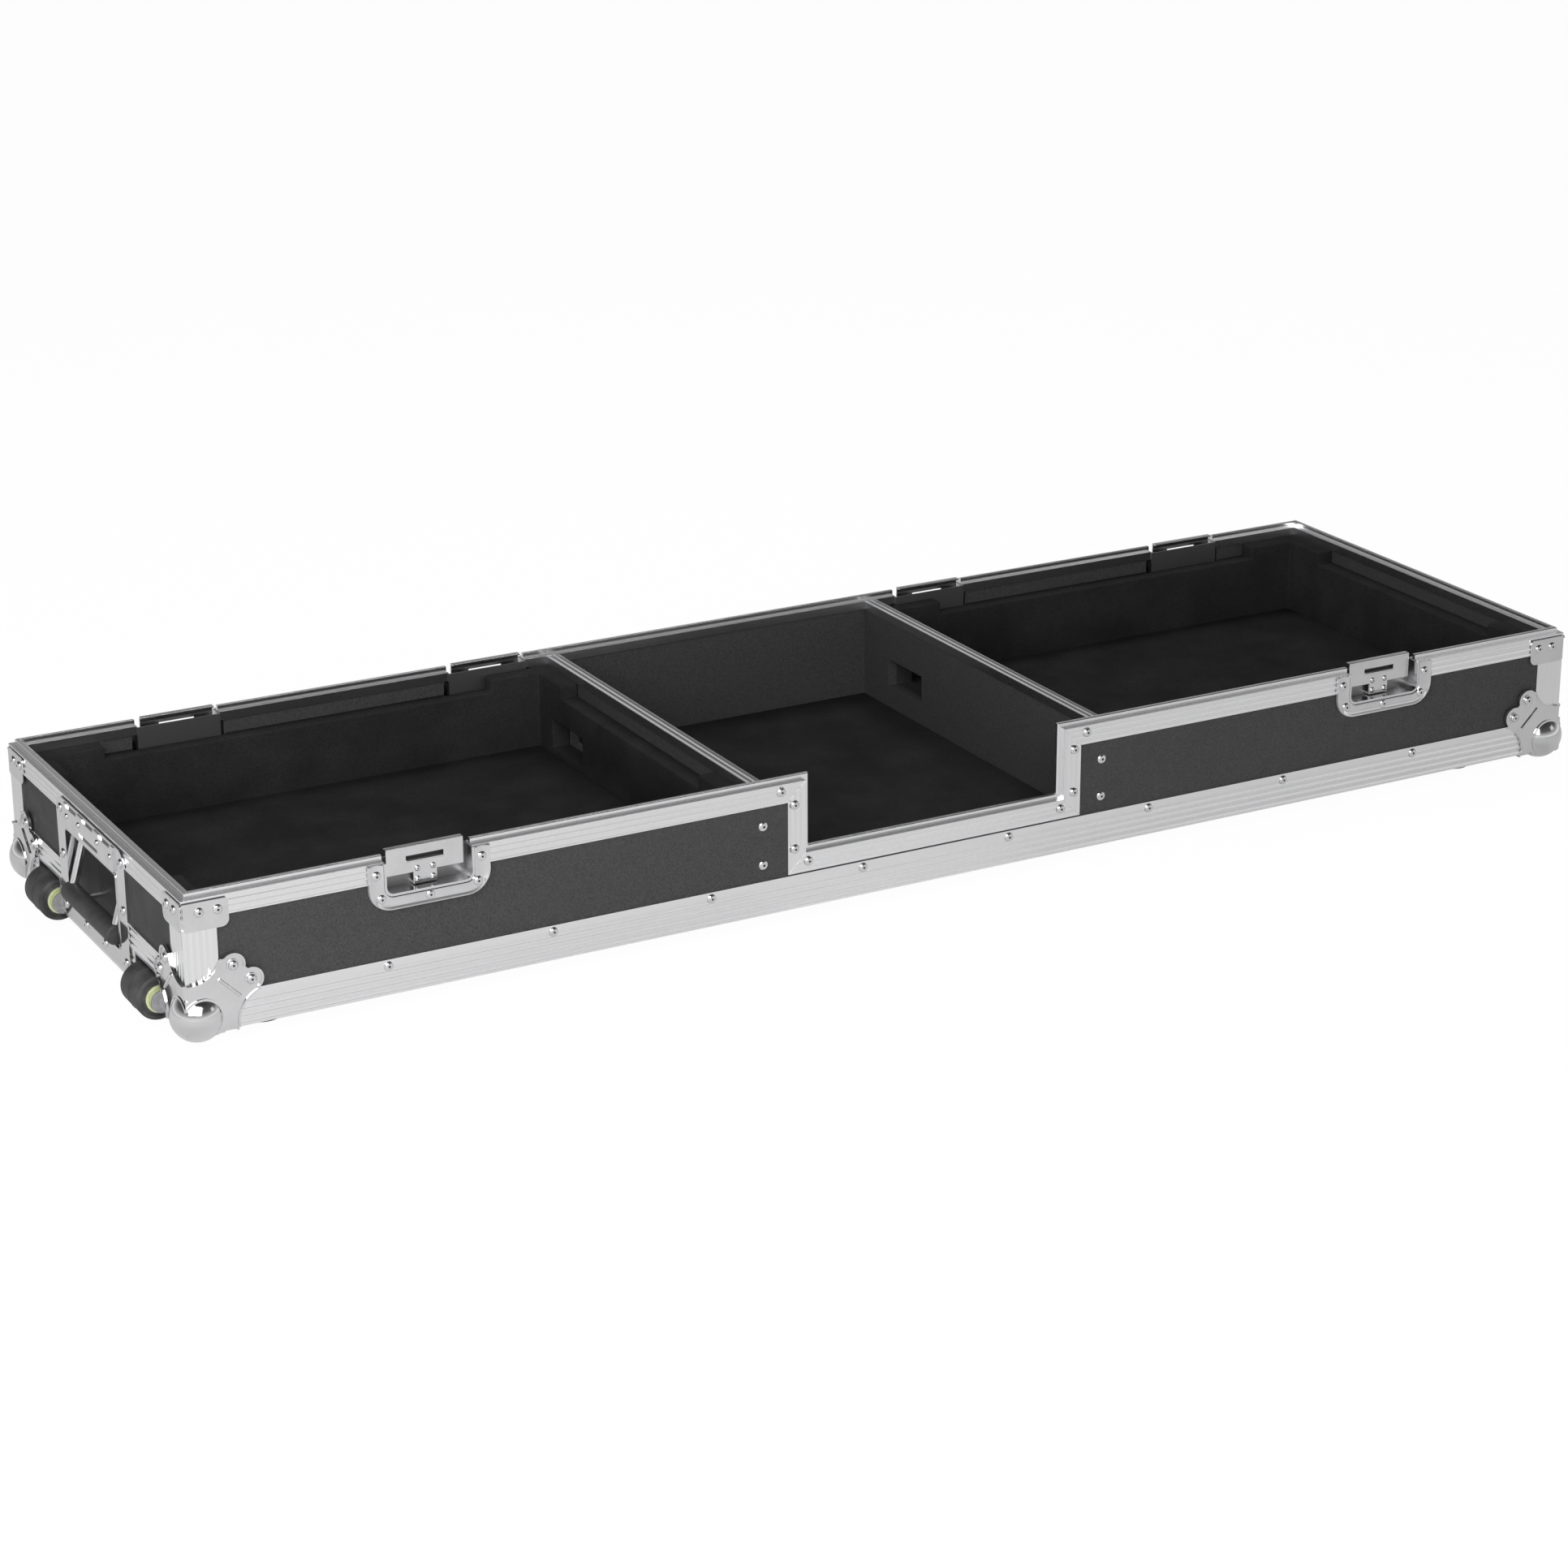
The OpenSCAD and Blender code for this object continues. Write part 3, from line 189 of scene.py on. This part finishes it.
class StudioSizes(bpy.types.PropertyGroup):
    floor: length("Floor", "Half the width of the floor", 14.0)
    focal: FloatProperty(name="Lens", description="Focal length in millimetres", default=87.128)
    sensor: FloatProperty(name="Sensor", description="Width of the sensor in millimetres",
                          default=36.0)
    near: length("Near", "Distance at which the camera's view starts", 0.05)
    far: length("Far", "Distance at which the camera's view ends", 60.0)
    place: FloatVectorProperty(name="Place", description="Place of the camera", size=3,
                               subtype="TRANSLATION", default=(-1.5522, -2.7626, 1.2082))
    pitch: FloatProperty(name="Pitch", description="Tilt of the camera", subtype="ANGLE",
                         default=math.radians(69.731))
    roll: FloatProperty(name="Roll", description="Roll of the camera", subtype="ANGLE",
                        default=math.radians(-0.230))
    heading: FloatProperty(name="Heading", description="Turn of the camera about the vertical",
                           subtype="ANGLE", default=math.radians(-28.839))


class Finish:
    """A material whose nodes are added one at a time."""

    def __init__(self, name):
        self.material = bpy.data.materials.new("case_" + name)
        self.material.use_nodes = True
        self.tree = self.material.node_tree
        self.shader = self.tree.nodes["Principled BSDF"]
        self.place = self.add("ShaderNodeTexCoord").outputs["Object"]

    def add(self, kind, **settings):
        node = self.tree.nodes.new(kind)
        for key, value in settings.items():
            setattr(node, key, value)
        return node

    def join(self, source, target):
        self.tree.links.new(source, target)
        return target

    def noise(self, size, stretch=(1, 1, 1), detail=3.0, rough=0.55):
        """Noise whose features are about size metres wide, longer where stretch is larger."""
        mapping = self.add("ShaderNodeMapping")
        mapping.inputs["Scale"].default_value = [1 / s for s in stretch]
        self.join(self.place, mapping.inputs["Vector"])
        node = self.add("ShaderNodeTexNoise")
        node.inputs["Scale"].default_value = 1 / size
        node.inputs["Detail"].default_value = detail
        node.inputs["Roughness"].default_value = rough
        self.join(mapping.outputs["Vector"], node.inputs["Vector"])
        return node.outputs["Fac"]

    def cells(self, size):
        """Distance to the nearest of cells that are about size metres wide."""
        node = self.add("ShaderNodeTexVoronoi", feature="F1")
        node.inputs["Scale"].default_value = 1 / size
        self.join(self.place, node.inputs["Vector"])
        return node.outputs["Distance"]

    def spread(self, source, low, high, first, last):
        """Maps source from low..high to first..last."""
        node = self.add("ShaderNodeMapRange")
        for name, value in (("From Min", low), ("From Max", high), ("To Min", first),
                            ("To Max", last)):
            node.inputs[name].default_value = value
        self.join(source, node.inputs["Value"])
        return node.outputs["Result"]

    def blend(self, factor, first, last):
        """Goes from the first colour to the last, each a triple or a socket."""
        node = self.add("ShaderNodeMix", data_type="RGBA")
        self.join(factor, node.inputs["Factor"])
        for socket, value in ((node.inputs[6], first), (node.inputs[7], last)):
            if isinstance(value, bpy.types.NodeSocket):
                self.join(value, socket)
            else:
                socket.default_value = (*value, 1.0)
        return node.outputs[2]

    def paint(self, source):
        self.join(source, self.shader.inputs["Base Color"])

    def roughen(self, source):
        self.join(source, self.shader.inputs["Roughness"])

    def bump(self, *heights):
        """Stacks bumps: each is a height, its full range in metres, and a strength."""
        last = None
        for height, depth, strength in heights:
            node = self.add("ShaderNodeBump")
            node.inputs["Distance"].default_value = depth
            node.inputs["Strength"].default_value = strength
            self.join(height, node.inputs["Height"])
            if last:
                self.join(last, node.inputs["Normal"])
            last = node.outputs["Normal"]
        self.join(last, self.shader.inputs["Normal"])

    def set(self, **values):
        """Sets the shader's sockets, named in small letters with underscores."""
        for name, value in values.items():
            socket = name.replace("_", " ").title().replace("Ior", "IOR")
            self.shader.inputs[socket].default_value = value


def darker(rgb, share):
    return tuple(part * share for part in rgb)


def laminate_finish(look):
    """Black laminate with an orange peel and pale flecks, rubbed a little grey in wide clouds."""
    finish = Finish("laminate")
    flecks = finish.spread(finish.noise(look.fleck_size, detail=3.0), 0.3, 0.75, 0.0, 1.0)
    fleck = finish.blend(flecks, tuple(look.laminate), tuple(look.laminate_fleck))
    rub = finish.spread(finish.noise(0.16, detail=4.0), 0.35, 0.75, 0.0, 0.35)
    finish.paint(finish.blend(rub, fleck, darker(look.laminate_fleck, 0.7)))
    finish.roughen(finish.spread(finish.noise(0.02), 0.3, 0.7, 0.55, 0.7))
    finish.bump((finish.noise(look.fleck_size * 1.4, detail=2.0), 0.00035, 0.6),
                (finish.cells(look.fleck_size * 0.6), 0.0001, 0.4))
    finish.set(specular_ior_level=0.3)


def rail_finish(name, look, stretch):
    """Drawn aluminium, with fine streaks along the rail, and dull clouds where hands have been."""
    finish = Finish(name)
    streaks = finish.noise(look.streak_size, stretch, detail=2.0)
    clouds = finish.noise(0.09, tuple(1 + s / 60 for s in stretch), detail=2.0)
    dark = darker(look.aluminium, RAIL_SHADE)
    shade = finish.blend(finish.spread(streaks, 0.25, 0.75, 0.0, 1.0), dark, tuple(look.aluminium))
    finish.paint(finish.blend(finish.spread(clouds, 0.4, 0.8, 0.0, 0.3), shade, dark))
    finish.roughen(finish.spread(clouds, 0.3, 0.7, 0.2, 0.25))
    finish.bump((streaks, 0.00002, 0.12))
    finish.set(metallic=1.0)


def plated_finish(name, look, rough, dent):
    """Plated sheet steel, with faint dents from pressing and finger marks."""
    finish = Finish(name)
    marks = finish.noise(MARK_SIZE, detail=4.0)
    finish.paint(finish.blend(finish.spread(marks, 0.4, 0.8, 0.0, 0.5), tuple(look.chrome),
                              darker(look.chrome, MARK_SHADE)))
    finish.roughen(finish.spread(marks, 0.35, 0.75, rough, rough + 0.12))
    finish.bump((finish.noise(0.011, detail=1.0), dent, 0.5), (finish.noise(0.0007), 0.00002, 0.3))
    finish.set(metallic=1.0)


def cup_finish(name, look, axis, middle, depth):
    """Plated sheet steel, dull towards the bottom of a cup that opens along an axis, and darker
    there with painted shade.
    """
    bottom, face = depth
    finish = Finish(name)
    apart = finish.add("ShaderNodeSeparateXYZ")
    finish.join(finish.place, apart.inputs[0])
    centred = finish.add("ShaderNodeMath", operation="SUBTRACT")
    centred.inputs[1].default_value = middle
    finish.join(apart.outputs[axis], centred.inputs[0])
    away = finish.add("ShaderNodeMath", operation="ABSOLUTE")
    finish.join(centred.outputs[0], away.inputs[0])
    painted_shade_and_dullness = finish.spread(away.outputs[0], bottom, face, 1.0, 0.0)
    marks = finish.spread(finish.noise(MARK_SIZE, detail=4.0), 0.4, 0.8, 0.0, 0.4)
    plate = finish.blend(marks, tuple(look.chrome), darker(look.chrome, MARK_SHADE))
    # Painted shade: the plate goes darker towards the bottom of the cup, where shade falls
    finish.paint(finish.blend(painted_shade_and_dullness, plate, darker(look.chrome, CUP_SHADE)))
    finish.roughen(finish.spread(painted_shade_and_dullness, 0.0, 1.0, 0.08, 0.4))
    finish.set(metallic=1.0)


def zinc_finish(look):
    """Dull zinc plating with a crystalline mottle."""
    finish = Finish("zinc")
    mottle = finish.cells(0.006)
    finish.paint(finish.blend(finish.spread(mottle, 0.0, 0.8, 0.0, 1.0), tuple(look.zinc),
                              darker(look.zinc, 0.75)))
    finish.roughen(finish.spread(finish.noise(0.01), 0.3, 0.7, 0.32, 0.5))
    finish.bump((finish.noise(0.003), 0.00005, 0.4))
    finish.set(metallic=1.0)


def spring_finish(look):
    """Oiled spring wire."""
    finish = Finish("spring")
    oil = finish.noise(0.004)
    finish.paint(finish.blend(oil, darker(look.zinc, 0.18), darker(look.zinc, 0.4)))
    finish.roughen(finish.spread(oil, 0.3, 0.7, 0.25, 0.42))
    finish.set(metallic=1.0)


def rubber_finish(name, look, dust, grain):
    """Moulded rubber with a fine grain, greyed by dust."""
    finish = Finish(name)
    clouds = finish.spread(finish.noise(0.014, detail=4.0), 0.4, 0.75, 0.0, dust)
    finish.paint(finish.blend(clouds, tuple(look.rubber), tuple(look.dust)))
    finish.roughen(finish.spread(clouds, 0.0, 1.0, 0.5, 0.8))
    finish.bump((finish.noise(grain, detail=2.0), 0.00012, 0.5))
    finish.set(specular_ior_level=0.35)


def nylon_finish(look):
    """Natural nylon, a little translucent, with grease stains."""
    finish = Finish("nylon")
    stain = finish.spread(finish.noise(0.005, detail=4.0), 0.45, 0.8, 0.0, 0.6)
    finish.paint(finish.blend(stain, tuple(look.nylon), darker(look.nylon, 0.6)))
    finish.roughen(finish.spread(stain, 0.0, 1.0, 0.34, 0.55))
    finish.bump((finish.noise(0.0012), 0.00004, 0.4))
    finish.set(subsurface_weight=0.15, subsurface_scale=0.002)


def foam_finish(look, cell):
    """Closed-cell foam: black, matte and pitted with cut cells, with painted shade in the pits."""
    finish = Finish("foam")
    pits = finish.cells(cell)
    clouds = finish.spread(finish.noise(0.05, detail=4.0), 0.35, 0.75, 0.0, 0.5)
    base = finish.blend(clouds, tuple(look.foam), darker(look.foam, 2.2))
    # Painted shade: the foam goes darker in its cells' pits
    pit_shade = finish.spread(pits, 0.0, 0.5, 1.0, 0.0)
    finish.paint(finish.blend(pit_shade, base, darker(look.foam, 0.45)))
    finish.roughen(finish.spread(clouds, 0.0, 1.0, 0.86, 0.97))
    finish.bump((pits, 0.0005, 0.7), (finish.noise(0.012), 0.0006, 0.4))
    finish.set(specular_ior_level=0.06)


def make_finishes(scene):
    """Makes one material for each name in FINISH_OF, and the foam's."""
    look = scene.case_finishes
    laminate_finish(look)
    rail_finish("rail_x", look, (STREAK, 1, 1))
    rail_finish("rail_y", look, (1, STREAK, 1))
    rail_finish("rail_z", look, (1, 1, STREAK))
    plated_finish("chrome", look, 0.04, 0.0001)
    plated_finish("plated", look, 0.12, 0.0002)
    cup_finish("cup", look, "X", MIDDLE, CUP_DEPTH)
    cup_finish("dish", look, "Y", 0.0, DISH_DEPTH)
    zinc_finish(look)
    spring_finish(look)
    rubber_finish("grip", look, 0.35, 0.0009)
    rubber_finish("tyre", look, 0.6, 0.0007)
    rubber_finish("foot", look, 0.3, 0.0008)
    nylon_finish(look)
    foam_finish(look, scene.case_foam.cell)


def material(name):
    return bpy.data.materials["case_" + name]


def dress(node, finish):
    """Gives a CAD node its finish."""
    node.data.materials.clear()
    node.data.materials.append(material(finish))


def soften(node, width):
    """Welds a CAD node's triangles and rounds its sharp edges."""
    weld = node.modifiers.new("Weld", "WELD")
    weld.merge_threshold = WELD_NEAR
    edge = node.modifiers.new("Edge", "BEVEL")
    edge.width = width
    edge.segments = 2
    edge.limit_method = "ANGLE"
    edge.angle_limit = SHARP
    edge.use_clamp_overlap = True
    shade = node.modifiers.new("Shade", "WEIGHTED_NORMAL")
    shade.keep_sharp = False
    for face in node.data.polygons:
        face.use_smooth = True


def merged(node):
    """A bmesh copy of a CAD node, with its loose triangles joined up."""
    bm = bmesh.new()
    bm.from_mesh(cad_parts[node].data)
    bmesh.ops.remove_doubles(bm, verts=bm.verts, dist=JOIN_NEAR)
    return bm


def new_piece(name, bm, finish, smooth):
    """Makes an object of a bmesh that rides on the case, smooth over edges below an angle."""
    mesh = bpy.data.meshes.new(name)
    for face in bm.faces:
        face.smooth = True
    bm.to_mesh(mesh)
    bm.free()
    mesh.set_sharp_from_angle(angle=math.radians(smooth))
    mesh.materials.append(material(finish))
    piece = bpy.data.objects.new(name, mesh)
    bpy.context.scene.collection.objects.link(piece)
    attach(piece, CASE)
    return piece


def make_foam(node, sizes):
    """A block of foam in the place of its CAD solid, with rounded edges."""
    bm = merged(node)
    bmesh.ops.dissolve_limit(bm, angle_limit=FLAT, verts=bm.verts, edges=bm.edges)
    sharp = [e for e in bm.edges if len(e.link_faces) == 2 and e.calc_face_angle() > FOAM_SHARP]
    bmesh.ops.bevel(bm, geom=sharp, offset=sizes.edge, offset_type="OFFSET", segments=3,
                    profile=0.5, affect="EDGES", clamp_overlap=True, material=-1)
    piece = new_piece(f"foam_{node}", bm, "foam", smooth=60)
    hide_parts(node)


def dish_path(half, low, top, round_):
    """A U down, along and up again, with the same count of points at any size."""
    path = [(-half, top + (low + round_ - top) * k / SIDE_STEPS) for k in range(SIDE_STEPS)]
    path += [(-half + round_ - round_ * math.cos(a), low + round_ - round_ * math.sin(a))
             for a in (math.pi / 2 * k / ROUND_STEPS for k in range(ROUND_STEPS + 1))]
    return path + [(-u, v) for u, v in reversed(path)]


def make_channels(sizes):
    """The pressed channel round each latch dish, with a raised outer edge."""
    outer = dish_path(sizes.half, sizes.low, sizes.top, sizes.round)
    inner = dish_path(sizes.half - sizes.band, sizes.low + sizes.foot, sizes.top,
                      sizes.mouth_round)
    bm = bmesh.new()
    for way, places in DISHES.items():
        for at in places:
            rings = [[bm.verts.new((MIDDLE + at + a[0] + (b[0] - a[0]) * s,
                                    way * (sizes.face + h * sizes.rise),
                                    a[1] + (b[1] - a[1]) * s)) for s, h in CHANNEL]
                     for a, b in zip(inner, outer)]
            for one, two in zip(rings, rings[1:]):
                for k in range(len(CHANNEL)):
                    bm.faces.new((one[k - 1], one[k], two[k], two[k - 1]))
            bm.faces.new(rings[0])
            bm.faces.new(reversed(rings[-1]))
    bmesh.ops.recalc_face_normals(bm, faces=bm.faces)
    new_piece("latch_channels", bm, "chrome", smooth=35)


def off_axis(arm, axis):
    """How far the end of an arm is from the axis through its start."""
    flat = arm.copy()
    flat[axis] = 0
    return flat.length


def heads_of(node):
    """Each rivet head of a CAD node: its base's middle, its axis, its radius and its height."""
    bm = merged(node)
    known = set()
    heads = []
    for first in bm.verts:
        if first in known:
            continue
        known.add(first)
        island = [first]
        for vert in island:
            for edge in vert.link_edges:
                other = edge.other_vert(vert)
                if other not in known:
                    known.add(other)
                    island.append(other)
        points = [v.co for v in island]
        low = Vector(min(p[i] for p in points) for i in range(3))
        high = Vector(max(p[i] for p in points) for i in range(3))
        span = high - low
        axis = min(range(3), key=lambda i: span[i])
        middle = (low + high) / 2
        radius = (sum(span) - span[axis]) / 4
        rim = [p[axis] for p in points if off_axis(p - middle, axis) > radius * RIM_SHARE]
        way = Vector([0, 0, 0])
        way[axis] = 1 if sum(rim) / len(rim) < middle[axis] else -1
        foot = middle.copy()
        foot[axis] = low[axis] if way[axis] > 0 else high[axis]
        heads.append((foot, way, radius, span[axis]))
    bm.free()
    return heads


def add_head(bm, foot, way, radius, height, sizes):
    """Spins one rivet head, a low dome with the mandrel's hole, and its washer if it has one."""
    hole = sizes.dimple
    profile = DOME + [(hole + 0.06, 1.0), (hole, 0.96), (hole * 0.8, 1 - sizes.sink),
                      (0.0, 1 - sizes.sink)]
    if radius > sizes.washer:
        top = WASHER[-1][1]
        profile = WASHER + [(r * DOME_ON_WASHER, top + h * (1 - top)) for r, h in profile]
    turn = way.to_track_quat("Z", "Y").to_matrix().to_4x4()
    place = Matrix.Translation(foot) @ turn
    verts = [bm.verts.new(place @ Vector((r * radius, 0, h * height))) for r, h in profile]
    edges = [bm.edges.new(pair) for pair in zip(verts, verts[1:])]
    bmesh.ops.spin(bm, geom=verts + edges, cent=foot, axis=way, angle=math.tau, steps=sizes.steps,
                   use_merge=True)


def make_rivets(node, sizes):
    """Blind rivets in the place of a CAD node's plain heads."""
    bm = bmesh.new()
    for head in heads_of(node):
        known = len(bm.faces)
        add_head(bm, *head, sizes)
        foot, way, radius, _ = head
        bm.faces.ensure_lookup_table()
        hole_shade_reach = radius * sizes.dimple * (DARK_WASHER if radius > sizes.washer else DARK_PLAIN)
        for face in bm.faces[known:]:
            arm = face.calc_center_median() - foot
            if (arm - way * arm.dot(way)).length < hole_shade_reach:
                # The faces in the mandrel's hole get the dark spring finish: painted shade in the
                # hole
                face.material_index = 1
    bmesh.ops.remove_doubles(bm, verts=bm.verts, dist=WELD_NEAR)
    bmesh.ops.recalc_face_normals(bm, faces=bm.faces)
    piece = new_piece(f"detailed_{node}", bm, "plated", smooth=50)
    # The second slot is the dark spring finish, used for the painted shade in the holes
    piece.data.materials.append(material("spring"))
    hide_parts(node)


class CASE_OT_finishes(bpy.types.Operator):
    """Gives every CAD node its finish and soft edges"""
    bl_idname = "case.finishes"
    bl_label = "Finishes"

    def execute(self, context):
        make_finishes(context.scene)
        for finish, nodes in FINISH_OF.items():
            for name in nodes:
                dress(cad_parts[name], finish)
                if finish in EDGE_OF:
                    soften(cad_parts[name], EDGE_OF[finish])
        return {"FINISHED"}


class CASE_OT_foam(bpy.types.Operator):
    """Makes the foam liners and pads"""
    bl_idname = "case.foam"
    bl_label = "Foam"

    def execute(self, context):
        for node in FOAM_NODES:
            make_foam(node, context.scene.case_foam)
        return {"FINISHED"}


class CASE_OT_channels(bpy.types.Operator):
    """Makes the latch dishes' pressed channels"""
    bl_idname = "case.channels"
    bl_label = "Latch channels"

    def execute(self, context):
        make_channels(context.scene.case_channels)
        return {"FINISHED"}


class CASE_OT_rivets(bpy.types.Operator):
    """Makes the rivets"""
    bl_idname = "case.rivets"
    bl_label = "Rivets"

    def execute(self, context):
        for node in RIVET_NODES:
            make_rivets(node, context.scene.case_rivets)
        return {"FINISHED"}


def make_floor(sizes):
    """A pale floor that goes white in the camera's view but keeps the shadow."""
    bm = bmesh.new()
    bmesh.ops.create_grid(bm, x_segments=1, y_segments=1, size=sizes.floor)
    mesh = bpy.data.meshes.new("floor")
    bm.to_mesh(mesh)
    bm.free()
    floor = bpy.data.objects.new("floor", mesh)
    bpy.context.scene.collection.objects.link(floor)
    paper = bpy.data.materials.new("floor")
    paper.use_nodes = True
    tree = paper.node_tree
    tree.nodes.clear()
    matte = tree.nodes.new("ShaderNodeBsdfDiffuse")
    matte.inputs["Color"].default_value = (PAPER, PAPER, PAPER, 1)
    glow = tree.nodes.new("ShaderNodeEmission")
    glow.inputs["Strength"].default_value = GLOW
    rays = tree.nodes.new("ShaderNodeLightPath")
    direct, mirrored, share = (tree.nodes.new("ShaderNodeMath") for _ in range(3))
    mix = tree.nodes.new("ShaderNodeMixShader")
    out = tree.nodes.new("ShaderNodeOutputMaterial")
    for node, ray, seen in ((direct, "Is Camera Ray", GLOW_SEEN),
                            (mirrored, "Is Glossy Ray", GLOW_MIRRORED)):
        node.operation = "MULTIPLY"
        node.inputs[1].default_value = seen
        tree.links.new(rays.outputs[ray], node.inputs[0])
    share.operation = "MAXIMUM"
    tree.links.new(direct.outputs[0], share.inputs[0])
    tree.links.new(mirrored.outputs[0], share.inputs[1])
    tree.links.new(share.outputs[0], mix.inputs["Fac"])
    tree.links.new(matte.outputs[0], mix.inputs[1])
    tree.links.new(glow.outputs[0], mix.inputs[2])
    tree.links.new(mix.outputs[0], out.inputs["Surface"])
    floor.data.materials.append(paper)


def make_world():
    """A white surround at the horizon, with a dark ceiling that gives the metal its contrast."""
    world = bpy.data.worlds.new("studio")
    bpy.context.scene.world = world
    world.use_nodes = True
    tree = world.node_tree
    tree.nodes.clear()
    place = tree.nodes.new("ShaderNodeTexCoord")
    split = tree.nodes.new("ShaderNodeSeparateXYZ")
    ramp = tree.nodes.new("ShaderNodeValToRGB")
    while len(ramp.color_ramp.elements) < len(SKY):
        ramp.color_ramp.elements.new(0.5)
    for stop, (height, level) in zip(ramp.color_ramp.elements, SKY):
        stop.position = height
        stop.color = (level, level, level, 1)
    sky = tree.nodes.new("ShaderNodeBackground")
    white = tree.nodes.new("ShaderNodeBackground")
    rays = tree.nodes.new("ShaderNodeLightPath")
    mix = tree.nodes.new("ShaderNodeMixShader")
    out = tree.nodes.new("ShaderNodeOutputWorld")
    white.inputs["Color"].default_value = (1, 1, 1, 1)
    tree.links.new(place.outputs["Generated"], split.inputs[0])
    tree.links.new(split.outputs["Z"], ramp.inputs["Fac"])
    tree.links.new(ramp.outputs["Color"], sky.inputs["Color"])
    tree.links.new(rays.outputs["Is Camera Ray"], mix.inputs["Fac"])
    tree.links.new(sky.outputs[0], mix.inputs[1])
    tree.links.new(white.outputs[0], mix.inputs[2])
    tree.links.new(mix.outputs[0], out.inputs["Surface"])


def make_lamp(name, place, aim, size, power):
    """A soft box that points at aim."""
    data = bpy.data.lights.new(name, "AREA")
    data.shape = "RECTANGLE"
    data.size, data.size_y = size
    data.energy = power
    lamp = bpy.data.objects.new(name, data)
    lamp.location = place
    lamp.rotation_euler = (Vector(aim) - Vector(place)).to_track_quat("-Z", "Y").to_euler()
    bpy.context.scene.collection.objects.link(lamp)


def make_camera(sizes):
    """The camera at the photograph's angle."""
    data = bpy.data.cameras.new("camera")
    data.sensor_width = sizes.sensor
    data.lens = sizes.focal
    data.clip_start = sizes.near
    data.clip_end = sizes.far
    camera = bpy.data.objects.new("camera", data)
    turn = (Matrix.Rotation(sizes.heading, 4, "Z") @ Matrix.Rotation(sizes.pitch, 4, "X")
            @ Matrix.Rotation(sizes.roll, 4, "Z"))
    camera.matrix_world = Matrix.Translation(sizes.place) @ turn
    bpy.context.scene.collection.objects.link(camera)
    bpy.context.scene.camera = camera


class CASE_OT_studio(bpy.types.Operator):
    """Sets up the floor, the light and the camera"""
    bl_idname = "case.studio"
    bl_label = "Studio"

    def execute(self, context):
        sizes = context.scene.case_studio
        make_floor(sizes)
        make_world()
        for lamp in LAMPS:
            make_lamp(*lamp)
        make_camera(sizes)
        context.scene.view_settings.view_transform = "Standard"
        return {"FINISHED"}


STEPS = (CASE_OT_finishes, CASE_OT_foam, CASE_OT_channels, CASE_OT_rivets, CASE_OT_studio)


class CASE_PT_panel(bpy.types.Panel):
    bl_label = "Coffin case base"
    bl_idname = "CASE_PT_panel"
    bl_space_type = "VIEW_3D"
    bl_region_type = "UI"
    bl_category = "Case"

    def draw(self, context):
        for step in STEPS:
            self.layout.operator(step.bl_idname)


GROUPS = {"case_finishes": CaseFinishes, "case_foam": FoamSizes, "case_channels": ChannelSizes,
          "case_rivets": RivetSizes, "case_studio": StudioSizes}


def register():
    for group in GROUPS.values():
        bpy.utils.register_class(group)
    for name, group in GROUPS.items():
        setattr(bpy.types.Scene, name, PointerProperty(type=group))
    for step in STEPS:
        bpy.utils.register_class(step)
    bpy.utils.register_class(CASE_PT_panel)


def unregister():
    bpy.utils.unregister_class(CASE_PT_panel)
    for step in reversed(STEPS):
        bpy.utils.unregister_class(step)
    for name in GROUPS:
        delattr(bpy.types.Scene, name)
    for group in GROUPS.values():
        bpy.utils.unregister_class(group)


def main():
    register()
    for step in STEPS:
        family, name = step.bl_idname.split(".")
        getattr(getattr(bpy.ops, family), name)()


if __name__ == "__main__":
    main()
